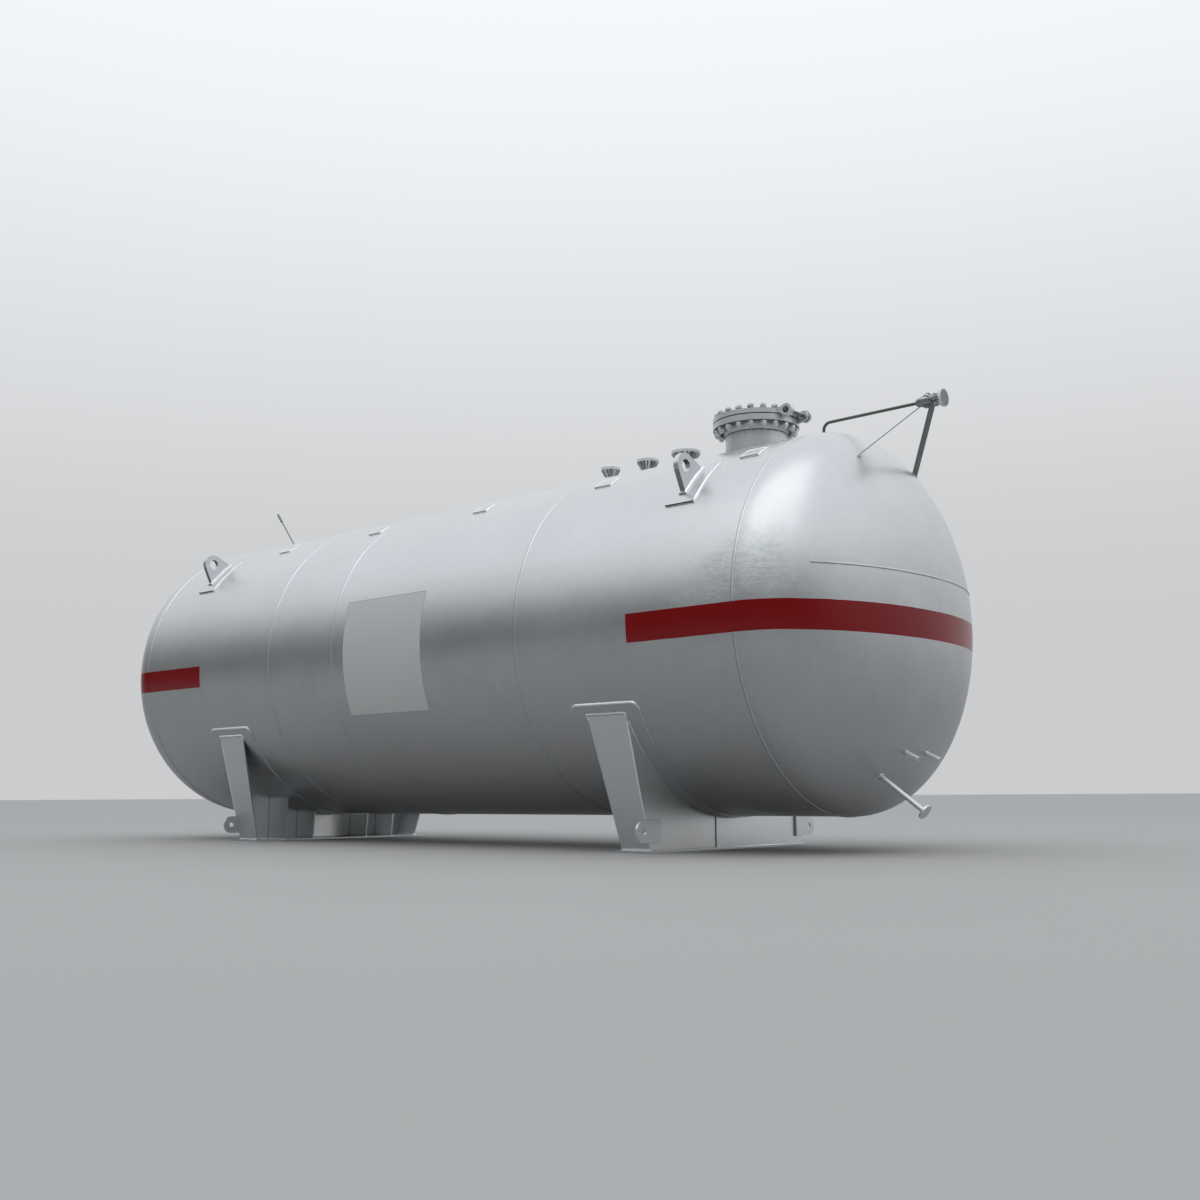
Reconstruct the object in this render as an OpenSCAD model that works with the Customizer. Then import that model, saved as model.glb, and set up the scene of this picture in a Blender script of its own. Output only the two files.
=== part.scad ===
// Horizontal pressure tank: welded steel shell with two ellipsoidal heads on two saddles.
// X runs along the tank towards the near head, Z is up, and z = 0 is the underside of the saddles.

/* [Shell] */
// Inside diameter of the shell
bore_d = 3000; // [2800:10:3200]
// Thickness of the shell and head plates
wall = 16; // [12:1:24]
// Length of each rolled shell course, from the far head to the near head
course_lengths = [2220, 1000, 2410, 2170]; // [800:5:2800]
// Straight flange between a head weld and the start of the curve
head_flange = 40; // [25:5:60]
// Inside diameter of the shell over the inside depth of a head's curve
head_ratio = 4; // [3.6:0.1:4.4]

/* [Saddles] */
// Near head weld back to the outer face of the near saddle's web
near_saddle_back = 1130; // [950:10:1300]
// Far head weld back to the outer face of the far saddle's web
far_saddle_back = 1180; // [950:10:1300]
// Lowest point of the shell above the underside of the base plates
saddle_h = 270; // [240:5:320]
// Thickness of a base plate
base_t = 16; // [14:1:24]
// Length of a base plate across the tank
base_l = 2180; // [2140:10:2240]
// Width of a base plate along the tank
base_w = 360; // [340:5:400]
// Reach of a base plate beyond the outer face of the web
base_lip = 30; // [15:1:40]
// Thickness of the web and the ribs
saddle_plate_t = 14; // [10:1:20]
// End of a base plate to the foot of its web
base_end = 30; // [15:1:60]
// Angle from straight down to each upper corner of the web
web_wrap = 62; // [60:0.5:63]
// Radius of the notch in each upper corner of the web
notch_r = 26; // [18:1:30]
// Upper corner of the web down to its notch, along the wear plate
notch_reach = 38; // [32:1:44]
// Reach of the end plates from the outer face of the web, at the base plate
rib_foot_w = 295; // [270:5:310]
// Reach of the end plates from the outer face of the web, at the upper corners
rib_head_w = 400; // [360:5:430]
// Middle of the tank to each inner rib on one side
rib_offsets = [360, 720]; // [300:10:760]
// Thickness of a wear plate
wear_t = 12; // [8:1:18]
// Width of a wear plate along the tank
wear_w = 680; // [640:10:720]
// Reach of a wear plate beyond the outer face of the web
wear_lip = 130; // [100:5:160]
// Angle from straight down to each end of a wear plate
wear_wrap = 65; // [64:0.5:68]
// Corner radius of a wear plate
wear_corner = 60; // [30:5:90]
// End of a base plate to the middle of its anchor hole
anchor_end = 120; // [90:5:160]
// Anchor holes, across the base plate's width: reach inward from the outer face of the web
anchor_inset = 150; // [140:5:170]
// Diameter of the round anchor holes in the near saddle
anchor_d = 28; // [24:1:34]
// Length of the slots in the far saddle, which lets the tank grow when warm
anchor_slot = 60; // [45:5:80]
// Radius of a tie-down ear's round end
ear_r = 85; // [75:1:92]
// Radius of the hole in a tie-down ear
ear_hole_r = 26; // [20:1:35]
// Thickness of a tie-down ear
ear_t = 20; // [15:1:25]
// Foot of the web to the hole of a tie-down ear
ear_reach = 108; // [90:1:120]
// Height of the ear holes above the base plate's upper face
ear_z = 152; // [145:1:165]
// Reach of a tie-down ear inward over the web, from the web's foot
ear_root = 100; // [75:5:130]

/* [Lifting lugs] */
// Head weld back to the middle of a lifting lug
lug_back = 661; // [600:1:740]
// Angle from straight up to a lifting lug
lug_angle = 45.4; // [43:0.1:47]
// Thickness of a lifting lug
lug_t = 46; // [35:1:60]
// Radius of a lug's round top
lug_r = 103; // [90:1:115]
// Radius of a lug's eye
lug_eye_r = 52; // [40:1:55]
// Height of the eye above the shell
lug_eye_h = 151; // [130:1:160]
// Half width of a lug's foot
lug_foot = 168; // [150:1:205]
// Thickness of the pad under a lug
lug_pad_t = 16; // [10:1:20]
// Width of a lug's pad along the tank
lug_pad_w = 272; // [220:2:300]
// Angle that a lug's pad covers
lug_pad_sweep = 20.2; // [17:0.1:24]

/* [Platform pads] */
// Number of small pads in each row along the top
pad_count = 5; // [2:1:5]
// Near head weld back to the middle of the first pad
pad_first_back = 260; // [180:10:400]
// Distance from one pad to the next
pad_pitch = 1500; // [1400:10:1510]
// Width of a pad along the tank
pad_w = 172; // [140:2:200]
// Angle that a pad covers
pad_sweep = 5.6; // [5:0.2:7]
// Angle from straight up to the middle of a pad
pad_angle = 32.7; // [31.5:0.1:33]
// Thickness of a pad
pad_t = 10; // [6:1:14]

/* [Manway] */
// Near head weld back to the middle of the manway
manway_back = 785; // [750:5:850]
// Outside radius of the manway neck
neck_r = 262; // [255:1:275]
// Wall of the manway neck
neck_wall = 14; // [10:1:18]
// Top of the shell to the underside of the manway flange
neck_h = 208; // [190:1:230]
// Height of the tapered hub under the manway flange
hub_h = 56; // [40:1:70]
// Radius of the hub where it meets the flange
hub_r = 284; // [278:1:292]
// Radius of the manway flange and cover
manway_r = 365; // [355:1:375]
// Thickness of the manway flange
manway_flange_t = 51; // [42:1:60]
// Thickness of the manway gasket
gasket_t = 8.5; // [5:0.5:10]
// Outside radius of the gasket
gasket_r = 304; // [295:1:308]
// Thickness of the manway cover
cover_t = 40; // [34:1:52]

/* [Manway hinge] */
// Middle of the manway to the hinge pin
pin_reach = 405; // [402:1:415]
// Top of the cover down to the hinge pin
pin_drop = 24; // [20:1:28]
// Radius of the hinge pin
pin_r = 16; // [12:1:18]
// Middle of the tank to the middle of each hinge arm on the cover
hinge_y = 147.5; // [140:0.5:160]
// Thickness of the hinge ears and arms
hinge_t = 25; // [18:1:28]
// Gap between a hinge arm and the ear beside it
side_gap = 6; // [5:0.5:8]
// Radius of the round end of a hinge ear
hinge_ear_r = 44; // [38:1:46]
// Radius of the round end of a hinge arm
hinge_arm_r = 51; // [44:1:54]

/* [Nozzles] */
// Near head weld back to the middle of each top nozzle
nozzle_back = [2420, 1975, 1540]; // [1500:5:2500]
// Outside radius of each nozzle's pipe
nozzle_pipe_r = [28.5, 38, 54]; // [24:0.5:60]
// Wall of the nozzle pipes
nozzle_wall = 6; // [5:0.5:8]
// Outside radius of each nozzle's flange
nozzle_flange_r = [82.5, 92.5, 117.5]; // [80:0.5:130]
// Thickness of each nozzle's flange
nozzle_flange_t = [20, 22, 24]; // [16:1:30]
// Top of the shell to the face of the nozzle flanges
nozzle_h = 162; // [150:1:180]
// Bolt circle radius of each nozzle's flange
nozzle_pcr = [62.5, 72.5, 95]; // [58:0.5:102]
// Number of bolt holes in each nozzle's flange
nozzle_bolts = [4, 8, 8]; // [4:4:8]
// Radius of the bolt holes in each nozzle's flange
nozzle_bolt_r = [9, 9, 11]; // [7:0.5:11.5]

/* [Film covers] */
// Reach of each film cover beyond the rim of its flange
film_reach = [8, 9.5, 13]; // [6:0.5:20]
// Thickness of the gathered film
film_t = 3; // [2:0.5:5]
// Length of the gathered skirt below a flange
film_skirt = 104; // [70:1:110]
// Length of the loose tail below the gathers
film_tail = 24; // [15:1:26]
// Reach of the loose tail out from the nozzle's pipe
film_flare = 16; // [8:1:24]

/* [Level gauge] */
// Near head weld back to the gauge pipe's riser
gauge_riser_back = 120; // [95:5:140]
// Radius of the gauge pipe
gauge_pipe_r = 12.5; // [10:0.5:16]
// Wall of the gauge pipe
gauge_pipe_wall = 3; // [2.5:0.5:4]
// Top of the shell to the middle of the level run
gauge_run_h = 143; // [135:1:155]
// Bend radius of the gauge pipe
gauge_bend_r = 60; // [45:1:70]
// Near head weld out to the end of the gauge pipe, at the valve
gauge_valve_reach = 729; // [700:1:750]
// Length of the gauge valve
gauge_valve_l = 171; // [160:1:200]
// Radius of the gauge valve's body
gauge_valve_r = 26; // [22:1:30]
// Length of the gauge flange's neck
gauge_neck_l = 36; // [30:1:50]
// Radius of the gauge flange
gauge_flange_r = 70; // [60:1:75]
// Thickness of the gauge flange
gauge_flange_t = 18; // [14:1:22]
// Bolt circle radius of the gauge flange
gauge_pcr = 50; // [48:0.5:52]
// Radius of the bolt holes in the gauge flange
gauge_bolt_r = 9; // [7:0.5:10]
// Width of each flat bar under the valve
strut_w = 45; // [36:1:60]
// Thickness of each flat bar under the valve
strut_t = 6; // [5:1:10]
// Height of the foot of a flat bar above the tank's axis
strut_foot_h = 1208; // [1150:1:1250]
// Middle of the tank to the foot of a flat bar, to the side
strut_foot_y = 442; // [400:1:460]
// Middle of the tank to the top of a flat bar, to the side
strut_top_y = 62; // [40:1:80]

/* [Head fittings] */
// Middle of the tank to each stub nozzle, to the side
stub_y = 160; // [140:5:180]
// Depth of the stub nozzles' feet below the tank's axis
stub_drop = 1040; // [1000:5:1080]
// Length of the stub nozzles outside the head
stub_l = 115; // [80:5:140]
// Radius of the stub nozzles
stub_r = 16; // [13:0.5:20]
// Wall of the stub nozzles
stub_wall = 4; // [3:0.5:5]
// Middle of the tank to the drain pipe, to the near side
drain_y = 329; // [300:5:350]
// Depth of the drain pipe below the tank's axis, at the head
drain_drop = 1215; // [1200:5:1230]
// Angle of the drain pipe below level
drain_angle = 37; // [30:1:40]
// Length of the drain pipe that stands out of the head
drain_l = 420; // [350:10:450]
// Radius of the drain pipe
drain_r = 20; // [16:0.5:24]
// Wall of the drain pipe
drain_wall = 4; // [3:0.5:5]
// Radius of the flange that ends the drain pipe
drain_flange_r = 57.5; // [50:0.5:62]
// Thickness of the flange that ends the drain pipe
drain_flange_t = 16; // [12:1:20]
// Far head weld back to the foot of the slanted rod
rod_back = 541; // [480:1:600]
// Lean of the slanted rod from upright, towards the far head
rod_lean = 40; // [30:1:50]
// Length of the slanted rod
rod_l = 620; // [500:10:700]
// Radius of the slanted rod
rod_r = 7; // [5:0.5:9]
// Radius of the slanted rod's grip
grip_r = 13; // [10:0.5:16]
// Length of the slanted rod's grip
grip_l = 120; // [80:5:150]

/* [Hidden] */

$fn = 96;
paint = "silver";
shade = "darkgray";
film = "whitesmoke";
shell_r = bore_d / 2 + wall;
axis_z = shell_r + saddle_h;
shell_l = course_lengths[0] + course_lengths[1] + course_lengths[2] + course_lengths[3];
far_weld_x = shell_l / 2;
near_weld_x = shell_l - far_weld_x;
near_saddle_x = near_weld_x - near_saddle_back;
far_saddle_x = far_weld_x - far_saddle_back;
lug_x = near_weld_x - lug_back;
pad_first_x = near_weld_x - pad_first_back;
manway_x = near_weld_x - manway_back;
nozzle_x = [for (b = nozzle_back) near_weld_x - b];
head_depth = bore_d / head_ratio;
head_steps = 36;
wear_r = shell_r + wear_t;
lug_pad_r = shell_r + lug_pad_t;
base_top = base_t - axis_z;
web_foot = base_l / 2 - base_end;
anchor_y = base_l / 2 - anchor_end;
ear_y = web_foot + ear_reach;
ear_root_y = web_foot - ear_root;
web_head_y = wear_r * sin(web_wrap);
web_head_z = -wear_r * cos(web_wrap);
notch_wrap = web_wrap - notch_reach / wear_r * 180 / PI;
flange_z = shell_r + neck_h;
flange_top = flange_z + manway_flange_t;
cover_gap = 0.3;
cover_z = flange_top + gasket_t + cover_gap;
pin_x = manway_x + pin_reach;
pin_z = cover_z + cover_t - pin_drop;
pin_clearance = 0.6;
ear_clearance = 6;
hinge_ear_y = hinge_y - hinge_t - side_gap;
pin_end = 8;
run_z = shell_r + gauge_run_h;
riser_x = near_weld_x - gauge_riser_back;
gauge_valve_x = near_weld_x + gauge_valve_reach;
rod_x = far_weld_x - rod_back;
gauge_neck_x = gauge_valve_x + gauge_valve_l;
gauge_face_x = gauge_neck_x + gauge_neck_l + gauge_flange_t;
strut_top_x = gauge_valve_x + gauge_valve_l / 2;
bracket_l = 110;
bracket_w = 2 * strut_top_y + strut_w / 2;
bracket_t = 8;
bracket_z = run_z - gauge_valve_r - bracket_t;
seat = 0.1;
// The model's frame has its origin under the middle of the whole length.
mid_x = (gauge_face_x - far_weld_x - head_flange - head_depth - wall) / 2;

// Where the near head's outer surface lies along the tank, at a distance from the tank's axis.
function head_rise(r) = (head_depth + wall) * sqrt(1 - pow(r / shell_r, 2));
function head_x(y, z) = near_weld_x + head_flange + head_rise(sqrt(y * y + z * z));

// The way straight out of the near head at a point on its surface.
function head_normal(y, z) =
    let (n = [head_rise(sqrt(y * y + z * z)) / pow(head_depth + wall, 2), y / pow(shell_r, 2), z / pow(shell_r, 2)])
    n / norm(n);

module place() {
    translate([-mid_x, 0, axis_z]) children();
}

// Turns a piece that is modelled round Z, with its zero direction along +X, to lie round the tank's axis.
// The angle is measured from straight up towards the near side.
module round_tank(from_top) {
    rotate([0, 90, 0]) rotate([0, 0, 180 + from_top]) children();
}

// A plate rolled to the tank's curve, between two places along the tank.
module rolled_plate(x0, x1, r0, r1, from_top, sweep) {
    round_tank(from_top)
        rotate_extrude(angle = sweep, $fn = 180)
            translate([r0, x0]) square([r1 - r0, x1 - x0]);
}

module shell_solid(r) {
    translate([-far_weld_x, 0, 0]) rotate([0, 90, 0]) cylinder(r = r, h = far_weld_x + near_weld_x, $fn = 180);
}

// Half outline of a head, as a quarter ellipse on a straight flange.
function head_outline(r, depth) = concat(
    [[0, 0], [r, 0]],
    [for (i = [0:head_steps]) [r * cos(90 * i / head_steps), head_flange + depth * sin(90 * i / head_steps)]]
);

module head_solid(grow = 0) {
    rotate_extrude($fn = 180) polygon(head_outline(shell_r + grow, head_depth + wall + grow));
}

module head_hollow() {
    rotate_extrude($fn = 180) polygon(head_outline(shell_r - wall, head_depth));
}

module head_shell() {
    difference() {
        head_solid();
        translate([0, 0, -1]) cylinder(r = shell_r - wall, h = 1 + head_flange / 2, $fn = 180);
        head_hollow();
    }
}

module at_near_head() {
    translate([near_weld_x, 0, 0]) rotate([0, 90, 0]) children();
}

module shell_course(i) {
    x0 = [for (k = 0, x = -far_weld_x; k <= i; x = x + course_lengths[k], k = k + 1) x][i];
    color(paint) difference() {
        translate([x0, 0, 0]) rotate([0, 90, 0]) difference() {
            cylinder(r = shell_r, h = course_lengths[i], $fn = 180);
            translate([0, 0, -1]) cylinder(r = shell_r - wall, h = course_lengths[i] + 2, $fn = 180);
        }
        for (k = [0:2]) if (nozzle_x[k] > x0 && nozzle_x[k] < x0 + course_lengths[i])
            translate([nozzle_x[k], 0, 0]) cylinder(r = nozzle_pipe_r[k] - nozzle_wall, h = shell_r + wall);
        if (manway_x > x0 && manway_x < x0 + course_lengths[i])
            translate([manway_x, 0, 0]) cylinder(r = neck_r - neck_wall, h = shell_r + wall);
        if (riser_x > x0 && riser_x < x0 + course_lengths[i])
            translate([riser_x, 0, 0]) cylinder(r = gauge_pipe_r - gauge_pipe_wall, h = shell_r + wall);
    }
}

module near_head() {
    color(paint) difference() {
        at_near_head() head_shell();
        for (side = [-1, 1]) stub_line(side)
            translate([0, 0, -2 * wall]) cylinder(r = stub_r - stub_wall, h = 4 * wall);
        drain_line() translate([0, 0, -4 * wall]) cylinder(r = drain_r - drain_wall, h = 8 * wall);
    }
}

module far_head() {
    color(paint) translate([-far_weld_x, 0, 0]) rotate([0, -90, 0]) head_shell();
}

// Stands a saddle piece that is modelled with its web's outer face at x = 0 and its outer side towards +X.
module at_saddle(near) {
    if (near) translate([near_saddle_x, 0, 0]) children();
    else translate([-far_saddle_x, 0, 0]) mirror([1, 0, 0]) children();
}

module base_plate(near) {
    color(paint) at_saddle(near) difference() {
        translate([base_lip - base_w, -base_l / 2, -axis_z]) cube([base_w, base_l, base_t]);
        for (side = [-1, 1]) {
            travel = near ? 0 : (anchor_slot - anchor_d) / 2;
            for (dx = near ? [0] : [-travel, travel])
                translate([dx - anchor_inset, side * anchor_y, -axis_z - 1])
                    cylinder(r = anchor_d / 2, h = base_t + 2);
            if (!near)
                translate([-anchor_inset - travel, side * anchor_y - anchor_d / 2, -axis_z - 1])
                    cube([2 * travel, anchor_d, base_t + 2]);
        }
    }
}

module wear_bore() {
    rotate([0, 90, 0]) cylinder(r = wear_r + seat, h = 4 * wear_w, center = true, $fn = 180);
}

// Outline of the web across the tank, before the tank's curve is cut from it.
function web_outline(inset) = [
    [-web_foot + inset, base_top], [web_foot - inset, base_top],
    [web_head_y - inset, web_head_z], [inset - web_head_y, web_head_z]
];

module across(x0, x1) {
    translate([x0, 0, 0]) rotate([90, 0, 90]) linear_extrude(height = x1 - x0) children();
}

module web(near) {
    color(paint) at_saddle(near) difference() {
        across(-saddle_plate_t, 0) difference() {
            polygon(web_outline(0));
            for (side = [-1, 1])
                translate([side * wear_r * sin(notch_wrap), -wear_r * cos(notch_wrap)]) circle(r = notch_r);
        }
        wear_bore();
    }
}

// Side outline shared by the end plates and the ribs: the free edge slants outwards going up.
module rib_side() {
    polygon([
        [-saddle_plate_t, base_top], [-rib_foot_w, base_top],
        [-rib_head_w, web_head_z], [-saddle_plate_t, web_head_z]
    ]);
}

module end_plates(near) {
    color(paint) at_saddle(near) difference() {
        intersection() {
            rotate([90, 0, 0]) linear_extrude(height = base_l * 2, center = true) rib_side();
            across(-rib_head_w, 0) difference() {
                polygon(web_outline(0));
                polygon([for (p = web_outline(saddle_plate_t)) [p[0], p[1] + (p[1] > base_top ? 1 : -1)]]);
            }
        }
        wear_bore();
    }
}

module ribs(near) {
    color(paint) at_saddle(near) difference() {
        for (side = [-1, 1]) for (y = rib_offsets)
            translate([0, side * y + saddle_plate_t / 2, 0])
                rotate([90, 0, 0]) linear_extrude(height = saddle_plate_t) rib_side();
        wear_bore();
    }
}

// Side outline of a wear plate. Its corners are foreshortened, so that they are round on the curved plate.
function wear_outline(x0, x1, top) = concat(
    [[x0, -2 * shell_r], [x1, -2 * shell_r]],
    [for (t = [0:15:90]) [x1 - wear_corner * (1 - cos(t)), top - wear_corner * sin(wear_wrap) * (1 - sin(t))]],
    [for (t = [90:-15:0]) [x0 + wear_corner * (1 - cos(t)), top - wear_corner * sin(wear_wrap) * (1 - sin(t))]]
);

module wear_plate(near) {
    x0 = wear_lip - wear_w;
    color(paint) at_saddle(near) intersection() {
        rolled_plate(x0 - 1, wear_lip + 1, shell_r + seat, wear_r, 175 - wear_wrap, 2 * wear_wrap + 10);
        rotate([90, 0, 0]) linear_extrude(height = 4 * shell_r, center = true)
            polygon(wear_outline(x0, wear_lip, -shell_r * cos(wear_wrap)));
    }
}

module tie_down_ears(near) {
    color(paint) at_saddle(near) for (side = [-1, 1])
        across(0, ear_t) translate([0, base_top + ear_z]) difference() {
            union() {
                translate([side * ear_y, 0]) circle(r = ear_r);
                translate([side > 0 ? ear_root_y : -ear_y, -ear_r]) square([ear_y - ear_root_y, 2 * ear_r]);
            }
            translate([side * ear_y, 0]) circle(r = ear_hole_r);
        }
}

// Where a straight edge from the corner [b, 0] meets a circle of radius r round [0, h].
function tangent_point(b, h, r) =
    let (d = sqrt(b * b + h * h), a = atan2(-h, b) + acos(r / d)) [r * cos(a), h + r * sin(a)];

module lifting_lug(end, side) {
    eye = shell_r + lug_eye_h;
    foot = shell_r * cos(asin(lug_foot / shell_r));
    t = tangent_point(lug_foot, eye - foot, lug_r);
    color(paint) difference() {
        rotate([side * lug_angle, 0, 0]) across(end * lug_x - lug_t / 2, end * lug_x + lug_t / 2) difference() {
            union() {
                translate([0, foot]) polygon([[-lug_foot, 0], [lug_foot, 0], t, [-t[0], t[1]]]);
                translate([0, eye]) circle(r = lug_r);
            }
            translate([0, eye]) circle(r = lug_eye_r);
        }
        rotate([0, 90, 0]) cylinder(r = lug_pad_r + seat, h = 4 * lug_x, center = true, $fn = 180);
    }
}

module lug_pads() {
    color(paint) for (end = [-1, 1]) for (side = [-1, 1])
        rolled_plate(end * lug_x - lug_pad_w / 2, end * lug_x + lug_pad_w / 2, shell_r + seat, lug_pad_r,
            side * lug_angle - lug_pad_sweep / 2, lug_pad_sweep);
}

module platform_pads(side) {
    color(paint) for (i = [0:pad_count - 1])
        rolled_plate(pad_first_x - i * pad_pitch - pad_w / 2, pad_first_x - i * pad_pitch + pad_w / 2,
            shell_r + seat, shell_r + pad_t, side * pad_angle - pad_sweep / 2, pad_sweep);
}

module at_manway(z) {
    translate([manway_x, 0, z]) children();
}

module manway_neck() {
    color(paint) difference() {
        at_manway(0) difference() {
            cylinder(r = neck_r, h = flange_z - hub_h);
            cylinder(r = neck_r - neck_wall, h = flange_z);
        }
        shell_solid(shell_r);
    }
}

module manway_flange() {
    color(paint) at_manway(0) rotate_extrude() polygon([
        [neck_r - neck_wall, flange_z - hub_h], [neck_r, flange_z - hub_h], [hub_r, flange_z],
        [manway_r, flange_z], [manway_r, flange_top], [neck_r - neck_wall, flange_top]
    ]);
}

module manway_gasket() {
    color(shade) at_manway(flange_top) difference() {
        cylinder(r = gasket_r, h = gasket_t);
        translate([0, 0, -1]) cylinder(r = neck_r - neck_wall, h = gasket_t + 2);
    }
}

module manway_cover() {
    color(paint) at_manway(cover_z) cylinder(r = manway_r, h = cover_t);
}

// Stands a hinge plate, drawn with the pin at [0, 0], on edge along the tank at one side.
module hinge_plate(y) {
    translate([pin_x, y + hinge_t / 2, pin_z]) rotate([90, 0, 0]) linear_extrude(height = hinge_t) children();
}

// Where the rim of the flange and cover lies along the tank, seen from the pin, at a distance to the side.
function rim_x(y) = sqrt(manway_r * manway_r - y * y) - pin_reach;

// Outline of a hinge plate: a round eye, with straight edges that run from it to a root between two heights.
module hinge_outline(r, root_x, low, high) {
    circle(r = r);
    polygon([[root_x, low], eye_edge([root_x, low], r, 1), [0, 0], eye_edge([root_x, high], r, -1), [root_x, high]]);
}

// Where a straight edge from the point p meets a circle of radius r round [0, 0], on one side or the other.
function eye_edge(p, r, side) =
    let (a = atan2(p[1], p[0]) + side * acos(r / norm(p))) [r * cos(a), r * sin(a)];

module hinge_ears() {
    color(paint) difference() {
        for (side = [-1, 1]) hinge_plate(side * hinge_ear_y) difference() {
            hinge_outline(hinge_ear_r, rim_x(hinge_y) - hinge_t, flange_z + 10 - pin_z, flange_top - 2 - pin_z);
            circle(r = pin_r);
        }
        at_manway(flange_z - manway_r) cylinder(r = manway_r + seat, h = manway_r + manway_flange_t);
        at_manway(flange_top) cylinder(r = manway_r + ear_clearance, h = manway_r);
    }
}

module hinge_pin() {
    length = 2 * (hinge_y + hinge_t / 2 + pin_end);
    color(shade) translate([pin_x, 0, pin_z]) rotate([90, 0, 0]) cylinder(r = pin_r, h = length, center = true);
}

module hinge_arms() {
    color(paint) difference() {
        for (side = [-1, 1]) hinge_plate(side * hinge_y) difference() {
            hinge_outline(hinge_arm_r, rim_x(hinge_y + hinge_t / 2), cover_z + ear_clearance - pin_z,
                cover_z + cover_t - pin_z);
            circle(r = pin_r + pin_clearance);
        }
        at_manway(cover_z - manway_r) cylinder(r = manway_r + seat, h = 2 * manway_r);
    }
}

// A weld-neck nozzle: pipe, tapered hub and drilled flange.
module nozzle(i) {
    r = nozzle_pipe_r[i];
    top = shell_r + nozzle_h;
    under = top - nozzle_flange_t[i];
    color(paint) difference() {
        translate([nozzle_x[i], 0, 0]) difference() {
            rotate_extrude() polygon([
                [r - nozzle_wall, shell_r - wall], [r, shell_r - wall], [r, under - 26], [r + 7, under],
                [nozzle_flange_r[i], under], [nozzle_flange_r[i], top], [r - nozzle_wall, top]
            ]);
            for (k = [0.5:nozzle_bolts[i]]) rotate([0, 0, 360 * k / nozzle_bolts[i]])
                translate([nozzle_pcr[i], 0, under - 1]) cylinder(r = nozzle_bolt_r[i], h = nozzle_flange_t[i] + 2);
        }
        shell_solid(shell_r);
    }
}

// Film laid over a nozzle's flange, gathered round its pipe, with a loose tail below the gathers.
module film_cap(i) {
    top = shell_r + nozzle_h;
    rim = nozzle_flange_r[i] + film_reach[i];
    waist = nozzle_pipe_r[i];
    fold = top - nozzle_flange_t[i];
    knot = fold - film_skirt;
    tail = [waist + film_flare, knot - film_tail];
    color(film) translate([nozzle_x[i], 0, 0]) rotate_extrude() polygon([
        [0, top], [rim - 8, top], [rim, top - 8], [rim, fold], [waist, knot], tail,
        tail + [film_t, 0], [waist + film_t, knot], [rim + film_t, fold], [rim + film_t, top - 7],
        [rim - 7, top + film_t], [0, top + film_t]
    ]);
}

module gauge_run(r) {
    translate([riser_x, 0, 0]) cylinder(r = r, h = run_z - gauge_bend_r);
    translate([riser_x + gauge_bend_r, 0, run_z - gauge_bend_r]) rotate([90, 0, 0])
        rotate([0, 0, 90]) rotate_extrude(angle = 90) translate([gauge_bend_r, 0]) circle(r = r);
    translate([riser_x + gauge_bend_r, 0, run_z]) rotate([0, 90, 0])
        cylinder(r = r, h = gauge_valve_x - riser_x - gauge_bend_r);
}

module gauge_pipe() {
    color(shade) difference() {
        gauge_run(gauge_pipe_r);
        gauge_run(gauge_pipe_r - gauge_pipe_wall);
        shell_solid(shell_r);
    }
}

// Valve body with a hexagonal end at each side and a short stem on top.
module gauge_valve() {
    hex = 1.1 * gauge_valve_r;
    color(shade) translate([gauge_valve_x, 0, run_z]) {
        rotate([0, 90, 0]) cylinder(r = hex, h = 30, $fn = 6);
        translate([30, 0, 0]) rotate([0, 90, 0]) cylinder(r = gauge_valve_r, h = gauge_valve_l - 60);
        translate([gauge_valve_l - 30, 0, 0]) rotate([0, 90, 0]) cylinder(r = hex, h = 30, $fn = 6);
        translate([gauge_valve_l / 2, 0, 0]) cylinder(r = 14, h = gauge_valve_r + 34);
    }
}

module gauge_flange() {
    color(shade) translate([gauge_neck_x, 0, run_z]) rotate([0, 90, 0]) difference() {
        union() {
            cylinder(r = gauge_pipe_r + 4, h = gauge_neck_l);
            translate([0, 0, gauge_neck_l]) cylinder(r = gauge_flange_r, h = gauge_flange_t);
        }
        translate([0, 0, -1]) cylinder(r = gauge_pipe_r - gauge_pipe_wall, h = gauge_neck_l + gauge_flange_t + 2);
        for (k = [0:3]) rotate([0, 0, 45 + 90 * k]) translate([gauge_pcr, 0, gauge_neck_l - 1])
            cylinder(r = gauge_bolt_r, h = gauge_flange_t + 2);
    }
}

// A small bracket under the valve, with two flat bars that run down to the head.
module gauge_struts() {
    foot_x = head_x(strut_foot_y, strut_foot_h);
    run = [strut_top_x - foot_x, strut_foot_y - strut_top_y, bracket_z - strut_foot_h];
    flat = norm([run[0], run[1]]);
    color(shade) difference() {
        union() {
            translate([strut_top_x - bracket_l / 2, -bracket_w / 2, bracket_z])
                cube([bracket_l, bracket_w, bracket_t]);
            intersection() {
                for (side = [-1, 1])
                    translate([foot_x, side * strut_foot_y, strut_foot_h])
                        rotate([0, -atan2(run[2], flat), -side * atan2(run[1], run[0])])
                            translate([-80, -strut_w / 2, -strut_t / 2])
                                cube([norm(run) + 160, strut_w, strut_t]);
                translate([0, -shell_r, 0]) cube([2 * foot_x, 2 * shell_r, bracket_z + bracket_t / 2]);
            }
        }
        at_near_head() head_solid();
    }
}

// Stands a stub nozzle's axis straight out of the near head.
module stub_line(side) {
    n = head_normal(side * stub_y, -stub_drop);
    translate([head_x(stub_y, stub_drop), side * stub_y, -stub_drop])
        rotate([0, acos(n[2]), atan2(n[1], n[0])]) children();
}

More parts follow.
